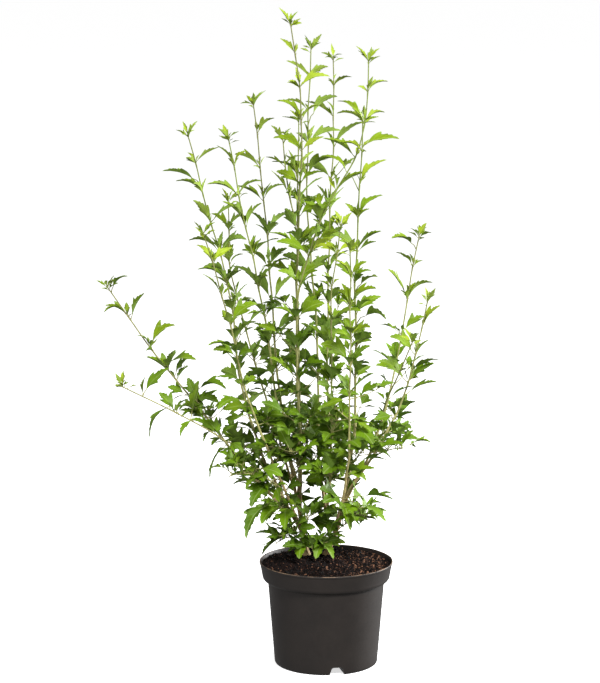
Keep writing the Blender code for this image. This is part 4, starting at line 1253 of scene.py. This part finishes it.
def grow_low_leaves(plant, limbs, full, fine):
    """Leaves and spurs straight on the canes, fewer of them higher up."""
    for letter in CANES:
        limb = limbs["cane_" + letter]
        z = limb.z0 + 0.045
        turn = fine.uniform(0, math.tau)
        while z < min(LEAFY_TO_Z, limb.z1 - 0.08):
            turn += 2.4 + fine.uniform(-0.4, 0.4)
            place = limb.at(z)
            leaf = (turn, some_angle(fine, -10, 45), full * fine.uniform(0.6, 0.95),
                    some_angle(fine, 30, 80))
            plant.leaf(place, leaf, tone_at(place, 4, fine), fine)
            if fine.random() < (0.30 if off_axis(place) > SIDE_R else 0.62):
                spur(plant, place, turn + fine.uniform(1.5, 4.5),
                     some_angle(fine, 0, 45), fine.uniform(0.015, 0.045),
                     fine.choice((3, 3, 4)), full * fine.uniform(0.5, 0.75), 4, fine)
            z += fine.uniform(0.031, 0.046) * (1 + 6 * max(0.0, z - SHOOT_FROM_Z))


def dice_for(number):
    """The dice of one shoot or spray: those of the solids' own rule, and those for the rest."""
    seed = SEED + SEED_STEP * number
    return random.Random(seed), random.Random(seed + FINE_SEED)


@functools.lru_cache(maxsize=1)
def grown(full, low, thickness, relief):
    """The whole plant, grown once for all the operators that take their share of it."""
    plant = Plant(thickness, relief)
    limbs = limb_table()
    grow_trunks(plant, limbs)
    grow_canes(plant, limbs)
    number = itertools.count()
    for letter, row in CANES.items():
        twigs = BRANCHES.get("shoot_" + letter, ())
        grow_shoot(plant, limbs["cane_" + letter], SHOOT_FROM_Z, row[-1], full,
                   dice_for(next(number)), twigs)
    for letter, row in SIDE_SHOOTS.items():
        limbs["cane_" + letter] = limb = row_limb(limbs, row)
        grow_shoot(plant, limb, limb.z0, row[-1], full, dice_for(next(number)))
    for parent, height, reach, bow, droop in SPRAYS:
        grow_spray(plant, limbs[parent], height, reach, bow, droop, low, dice_for(next(number)))
    fine = random.Random(SEED + LOW_LEAF_SEED)
    grow_low_leaves(plant, limbs, full, fine)
    for name, height, tip, curl in NAMED_LEAVES:
        root = limbs[name].at(height * MM)
        plant.aimed_leaf(root, Vector(tip) * MM, math.radians(curl), tone_at(root, 2, fine), fine)
    return plant


def this_plant(context):
    """The plant that the settings ask for."""
    leaf, limb = context.scene.hibiscus_leaf, context.scene.hibiscus_limb
    return grown(leaf.full, leaf.low, leaf.thickness, limb.relief)


def nodes_of(*kinds):
    """The names of the solids of these kinds."""
    return sorted(n for n in frame["nodes"] if n.startswith(kinds))


# ---- pot and compost -------------------------------------------------------------------


def line_to(profile, end, steps):
    """Carries a profile straight on to a place, in even steps."""
    r, z = profile[-1]
    for i in range(1, steps + 1):
        profile.append((r + (end[0] - r) * i / steps, z + (end[1] - z) * i / steps))


def round_to(profile, centre, radii, first, last, steps):
    """Carries a profile on round part of an ellipse, between two angles in degrees."""
    for i in range(1, steps + 1):
        angle = math.radians(first + (last - first) * i / steps)
        profile.append((centre[0] + radii[0] * math.cos(angle),
                        centre[1] + radii[1] * math.sin(angle)))


def pot_profile(pot):
    """Floor middle, up inside, over the rim, down outside, underside middle."""
    top, rim, wall = pot.height, pot.rim_radius, pot.wall
    lip = wall / 2 + LIP_SWELL
    profile = [(0.0, FLOOR), (BASE_R - BASE_ROUND, FLOOR), (BASE_R - wall, FLOOR + 0.003)]
    profile += [(BODY_TOP_R - wall, BODY_TOP_Z - 0.001)]
    profile += [(COLLAR_R - wall - 0.0012, COLLAR_Z - 0.0022)]
    profile += [(rim - wall - LIP_STEP, top - 0.004), (rim - 2 * lip, top - LIP_ROUND)]
    round_to(profile, (rim - lip, top - LIP_ROUND), (lip, LIP_ROUND), 180, 0, 8)
    profile += [(rim, top - 0.0030), (rim - 0.0004, top - 0.0038)]
    profile += [(rim - LIP_STEP, top - LIP_DEPTH)]
    line_to(profile, (COLLAR_R, COLLAR_Z), 6)
    round_to(profile, (BODY_TOP_R, COLLAR_Z), (COLLAR_R - BODY_TOP_R, COLLAR_Z - BODY_TOP_Z),
             0, -90, 8)
    line_to(profile, (BASE_R, BASE_ROUND), 8)
    round_to(profile, (BASE_R - BASE_ROUND, BASE_ROUND), (BASE_ROUND, BASE_ROUND), 0, -90, 4)
    return profile + [(0.0, 0.0)]


def channel_bar(azimuth, outer_r, z_foot, wall=0.0):
    """A rounded bar in the shape of a channel, or that shape with a wall round it.

    Its end leans from the first outer radius at its foot to the second at its top.
    """
    inner_r, height = CHANNEL_IN_R - wall, CHANNEL_H + wall
    w_foot, w_top = CHANNEL_W_FOOT + 2 * wall, CHANNEL_W_TOP + 2 * wall
    start = (z_foot - CHANNEL_LOW_Z) / (height - CHANNEL_LOW_Z)
    w_start = w_foot + (w_top - w_foot) * start
    bm = bmesh.new()
    bmesh.ops.create_cube(bm, size=1.0)
    for v in bm.verts:
        high = v.co.z > 0
        half = w_top / 2 if high else w_start / 2
        x = outer_r[high] if v.co.x > 0 else inner_r
        v.co = Vector((x, half if v.co.y > 0 else -half, height if high else z_foot))
    upper = [e for e in bm.edges if all(v.co.z > height / 2 for v in e.verts)]
    outward = [e for e in upper if abs(e.verts[0].co.y - e.verts[1].co.y) < 1e-6]
    bmesh.ops.bevel(bm, geom=outward, offset=CHANNEL_ROUND, segments=4, profile=0.5,
                    affect="EDGES", material=-1)
    bmesh.ops.rotate(bm, verts=bm.verts, matrix=Matrix.Rotation(azimuth, 3, "Z"))
    return bm


def drain_bar(azimuth):
    """The upright round bar that cuts a channel's drain hole."""
    at = (DRAIN_AT_R * math.cos(azimuth), DRAIN_AT_R * math.sin(azimuth), CHANNEL_H)
    bm = bmesh.new()
    bmesh.ops.create_cone(bm, cap_ends=True, segments=20, radius1=DRAIN_R, radius2=DRAIN_R,
                          depth=DRAIN_DEPTH, matrix=Matrix.Translation(at))
    return bm


def cut_with(piece, operation, shapes):
    """Joins or cuts a piece with temporary shapes, and leaves one plain mesh."""
    helpers = bpy.data.collections.new("helpers")
    bpy.context.scene.collection.children.link(helpers)
    for i, bm in enumerate(shapes):
        helpers.objects.link(bpy.data.objects.new(f"helper_{i}", mesh_from(bm, "helper")))
    change = piece.modifiers.new("Change", "BOOLEAN")
    change.operation = operation
    change.solver = "EXACT"
    change.operand_type = "COLLECTION"
    change.collection = helpers
    graph = bpy.context.evaluated_depsgraph_get()
    mesh = bpy.data.meshes.new_from_object(piece.evaluated_get(graph))
    piece.modifiers.clear()
    old, piece.data = piece.data, mesh
    bpy.data.meshes.remove(old)
    for helper in list(helpers.objects):
        bpy.data.objects.remove(helper, do_unlink=True)
    bpy.data.collections.remove(helpers)


class HIBISCUS_OT_pot(bpy.types.Operator):
    """Makes the nursery pot with its rim, collar, drainage channels and holes"""

    bl_idname = "hibiscus.make_pot"
    bl_label = "Make Pot"

    def execute(self, context):
        pot = context.scene.hibiscus_pot
        wall = pot.wall
        mesh = mesh_from(turned(pot_profile(pot), POT_STEPS), "pot")
        piece = finished_object("nursery_pot", mesh, ["pot"])
        azimuths = [math.radians(CHANNEL_FIRST_DEG + 360 * i / CHANNELS) for i in range(CHANNELS)]
        # The roofs end inside the wall, which leans outward on its way up.
        in_wall = (BASE_R - wall - 0.0002, BASE_R + 0.0009 - wall * 0.75)
        outside = (pot.rim_radius, pot.rim_radius)
        roofs = [channel_bar(a, in_wall, FLOOR * 0.4, wall) for a in azimuths]
        cut_with(piece, "UNION", roofs)
        channels = [channel_bar(a, outside, CHANNEL_LOW_Z) for a in azimuths]
        cut_with(piece, "DIFFERENCE", channels)
        cut_with(piece, "DIFFERENCE", [drain_bar(a) for a in azimuths])
        smooth(piece.data, 32)
        piece.data.materials.clear()
        piece.data.materials.append(plastic_finish(pot))
        return {"FINISHED"}


def compost_height(x, y):
    """The compost's surface: a low mound with lumps and hollows."""
    r = math.hypot(x, y)
    t = min(1.0, max(0.0, (r - MOUND_FROM_R) / (MOUND_TO_R - MOUND_FROM_R)))
    fall = (COMPOST_MOUND_Z - COMPOST_EDGE_Z) * t * t * (3 - 2 * t)
    z = COMPOST_MOUND_Z - COMPOST_SINK - fall
    for scale, place, depth in COMPOST_LUMPS:
        z += noise.noise(Vector((x * scale, y * scale, place))) * depth
    return z


class HIBISCUS_OT_compost(bpy.types.Operator):
    """Fills the pot with compost and strews bark chips over it"""

    bl_idname = "hibiscus.make_compost"
    bl_label = "Make Compost"

    def execute(self, context):
        pot, compost = context.scene.hibiscus_pot, context.scene.hibiscus_compost
        edge, bed_r = pot.rim_radius - pot.wall - COMPOST_CLEAR, BODY_TOP_R - COMPOST_INSET
        profile = [(edge * math.sqrt(i / COMPOST_RINGS), COMPOST_EDGE_Z)
                   for i in range(COMPOST_RINGS + 1)]
        profile += [(bed_r, COLLAR_Z + 0.004), (bed_r, BODY_TOP_Z)]
        profile += [(BASE_R - COMPOST_INSET, COMPOST_FOOT_Z), (0.0, COMPOST_FOOT_Z)]
        bm = turned(profile, COMPOST_STEPS)
        for v in bm.verts:
            if v.co.z > COMPOST_EDGE_Z - 0.001:
                v.co.z = compost_height(v.co.x, v.co.y)
        mesh = mesh_from(bm, "compost_bed")
        smooth(mesh, 60)
        mesh.materials.append(compost_finish(compost))
        finished_object("compost_bed", mesh, ["compost"])
        self.strew(compost, edge)
        return {"FINISHED"}

    def strew(self, compost, edge):
        """Chips of three tones, more of the pale ones to the right."""
        rng = random.Random(SEED + CHIP_SEED)
        shapes = [self.chip(rng) for _ in range(CHIP_SHAPES)]
        lots = {"dark": Gathering(), "brown": Gathering(), "pale": Gathering()}
        for _ in range(compost.chips):
            r = (edge - 0.003) * math.sqrt(rng.random())
            turn = rng.uniform(0, math.tau)
            x, y = r * math.cos(turn), r * math.sin(turn)
            pale = PALE_CHIPS + PALE_CHIPS_RIGHT * min(1.0, max(0.0, (x + 0.02) / 0.10))
            draw = rng.random()
            lot = "pale" if draw < pale else "brown" if draw < pale + BROWN_CHIPS else "dark"
            long = rng.uniform(*CHIP_LENGTH) * (LONG_CHIP if rng.random() < LONG_CHIPS else 1.0)
            wide, thick = long * rng.uniform(*CHIP_WIDTH), long * rng.uniform(*CHIP_THICKNESS)
            spin = Matrix.Rotation(rng.uniform(0, math.tau), 3, "Z")
            tilt = Matrix.Rotation(rng.uniform(-0.9, 0.9), 3, "Y")
            tilt @= Matrix.Rotation(rng.uniform(-0.7, 0.7), 3, "X")
            turned_by = np.array(spin @ tilt @ Matrix.Diagonal((long, wide, thick)))
            at = np.array((x, y, compost_height(x, y) + thick * 0.25))
            shape = rng.choice(shapes)
            lots[lot].add(shape, shape.places @ turned_by.T + at)
        colours = {"dark": (scaled(compost.dark, 0.7), 0.6), "brown": (tuple(compost.brown), 0.5),
                   "pale": (tuple(compost.tan), 0.7)}
        for lot, gathering in lots.items():
            colour, wet = colours[lot]
            finish = chip_finish(f"{lot}_chip_finish", colour, wet)
            mesh = gathering.mesh(f"{lot}_chips", [finish], 25)
            finished_object(f"{lot}_chips", mesh, ["compost"])

    @staticmethod
    def chip(rng):
        """A splinter of bark: a bevelled block knocked out of square."""
        bm = bmesh.new()
        bmesh.ops.create_cube(bm, size=2.0)
        for v in bm.verts:
            v.co += Vector([rng.uniform(-0.35, 0.35) for _ in range(3)])
        bmesh.ops.bevel(bm, geom=list(bm.edges), offset=0.22, segments=1, profile=0.5,
                        affect="EDGES", material=-1)
        bmesh.ops.recalc_face_normals(bm, faces=bm.faces)
        return Pattern(bm)


# ---- the plant's operators -------------------------------------------------------------


class HIBISCUS_OT_limbs(bpy.types.Operator):
    """Makes the trunks and the lower canes with the relief of their bark"""

    bl_idname = "hibiscus.make_limbs"
    bl_label = "Make Trunks and Canes"

    def execute(self, context):
        plant = this_plant(context)
        finish = bark_finish("bark_finish", context.scene.hibiscus_limb, True)
        mesh = plant.bark.mesh("barked_limbs", [finish], 60)
        finished_object("barked_limbs", mesh, nodes_of("trunk_", "cane_"))
        return {"FINISHED"}


class HIBISCUS_OT_shoots(bpy.types.Operator):
    """Makes the green stems, twigs, leaf stalks and stipules"""

    bl_idname = "hibiscus.make_shoots"
    bl_label = "Make Green Shoots"

    def execute(self, context):
        plant = this_plant(context)
        finish = bark_finish("shoot_finish", context.scene.hibiscus_limb, False)
        mesh = plant.green.mesh("green_shoots", [finish], 60)
        finished_object("green_shoots", mesh, nodes_of("shoot_", "low_spray_"))
        return {"FINISHED"}


class HIBISCUS_OT_leaves(bpy.types.Operator):
    """Makes the leaves, one piece for each green"""

    bl_idname = "hibiscus.make_leaves"
    bl_label = "Make Leaves"

    def execute(self, context):
        plant, look = this_plant(context), context.scene.hibiscus_leaf
        for tone in TONES:
            colour = tuple(getattr(look, tone))
            under = mixed(colour, UNDERSIDE_TINT, 0.40)
            finishes = [leaf_finish(f"{tone}_leaf_finish", colour, 0.48, 0.19, 0.32),
                        leaf_finish(f"{tone}_underside_finish", under, 0.70, 0.12, 0.30)]
            mesh = plant.leaves[tone].mesh(f"{tone}_leaves", finishes, 60)
            finished_object(f"{tone}_leaves", mesh, nodes_of("shoot_", "low_spray_"))
        return {"FINISHED"}


class HIBISCUS_OT_stage(bpy.types.Operator):
    """Lays the floor and sets the light and the camera"""

    bl_idname = "hibiscus.set_stage"
    bl_label = "Set Stage"

    def execute(self, context):
        stage, scene = context.scene.hibiscus_stage, context.scene
        bm = bmesh.new()
        bmesh.ops.create_grid(bm, x_segments=2, y_segments=2, size=FLOOR_HALF)
        mesh = mesh_from(bm, "floor")
        mesh.materials.append(floor_finish(tuple(stage.floor)))
        floor = bpy.data.objects.new("floor", mesh)
        scene.collection.objects.link(floor)
        floor.visible_diffuse = False
        floor.visible_glossy = False
        world = bpy.data.worlds.new("even_light")
        world.use_nodes = True
        nodes, links = world.node_tree.nodes, world.node_tree.links
        ground = nodes["Background"]
        ground.inputs["Color"].default_value = (1.0, 1.0, 1.0, 1.0)
        # The sky beyond the floor's end looks as white as the floor, but lights less.
        rays, glow = nodes.new("ShaderNodeLightPath"), nodes.new("ShaderNodeMapRange")
        glow.inputs["To Min"].default_value = stage.fill
        links.new(rays.outputs["Is Camera Ray"], glow.inputs["Value"])
        links.new(glow.outputs["Result"], ground.inputs["Strength"])
        scene.world = world
        for name, (place, share, size) in LAMPS.items():
            self.lamp(scene, name, place, stage.key * share, size)
        data = bpy.data.cameras.new("camera")
        data.sensor_width = SENSOR_MM
        data.lens = CAMERA_LENS_MM
        camera = bpy.data.objects.new("camera", data)
        camera.location = (CAMERA_X, -stage.camera_distance, stage.camera_height)
        camera.rotation_euler = (math.pi / 2 - stage.camera_pitch, 0, 0)
        scene.collection.objects.link(camera)
        scene.camera = camera
        scene.view_settings.view_transform = "Standard"
        return {"FINISHED"}

    @staticmethod
    def lamp(scene, name, place, power, size):
        """A square lamp that points at the shrub."""
        data = bpy.data.lights.new(name, "AREA")
        data.energy = power
        data.size = size
        lamp = bpy.data.objects.new(name, data)
        lamp.location = place
        aim = Vector(LIT_PLACE) - Vector(place)
        lamp.rotation_euler = aim.to_track_quat("-Z", "Y").to_euler()
        scene.collection.objects.link(lamp)


class HIBISCUS_PT_panel(bpy.types.Panel):
    """Lists the steps that build the shrub"""

    bl_label = "Potted Hibiscus"
    bl_idname = "HIBISCUS_PT_panel"
    bl_space_type = "VIEW_3D"
    bl_region_type = "UI"
    bl_category = "Hibiscus"

    def draw(self, context):
        for operator, group in STEPS:
            box = self.layout.box()
            box.operator(operator.bl_idname)
            settings = getattr(context.scene, group)
            for key in settings.bl_rna.properties.keys():
                if key not in ("rna_type", "name"):
                    box.prop(settings, key)


GROUPS = {
    "hibiscus_pot": PotSettings,
    "hibiscus_compost": CompostSettings,
    "hibiscus_limb": LimbSettings,
    "hibiscus_leaf": LeafSettings,
    "hibiscus_stage": StageSettings,
}
STEPS = (
    (HIBISCUS_OT_pot, "hibiscus_pot"),
    (HIBISCUS_OT_compost, "hibiscus_compost"),
    (HIBISCUS_OT_limbs, "hibiscus_limb"),
    (HIBISCUS_OT_shoots, "hibiscus_limb"),
    (HIBISCUS_OT_leaves, "hibiscus_leaf"),
    (HIBISCUS_OT_stage, "hibiscus_stage"),
)


def register():
    for name, group in GROUPS.items():
        bpy.utils.register_class(group)
        setattr(bpy.types.Scene, name, PointerProperty(type=group))
    for operator, _ in STEPS:
        bpy.utils.register_class(operator)
    bpy.utils.register_class(HIBISCUS_PT_panel)


def unregister():
    bpy.utils.unregister_class(HIBISCUS_PT_panel)
    for operator, _ in STEPS:
        bpy.utils.unregister_class(operator)
    for name, group in GROUPS.items():
        delattr(bpy.types.Scene, name)
        bpy.utils.unregister_class(group)


def main():
    register()
    bpy.ops.hibiscus.make_pot()
    bpy.ops.hibiscus.make_compost()
    bpy.ops.hibiscus.make_limbs()
    bpy.ops.hibiscus.make_shoots()
    bpy.ops.hibiscus.make_leaves()
    bpy.ops.hibiscus.set_stage()


if __name__ == "__main__":
    main()
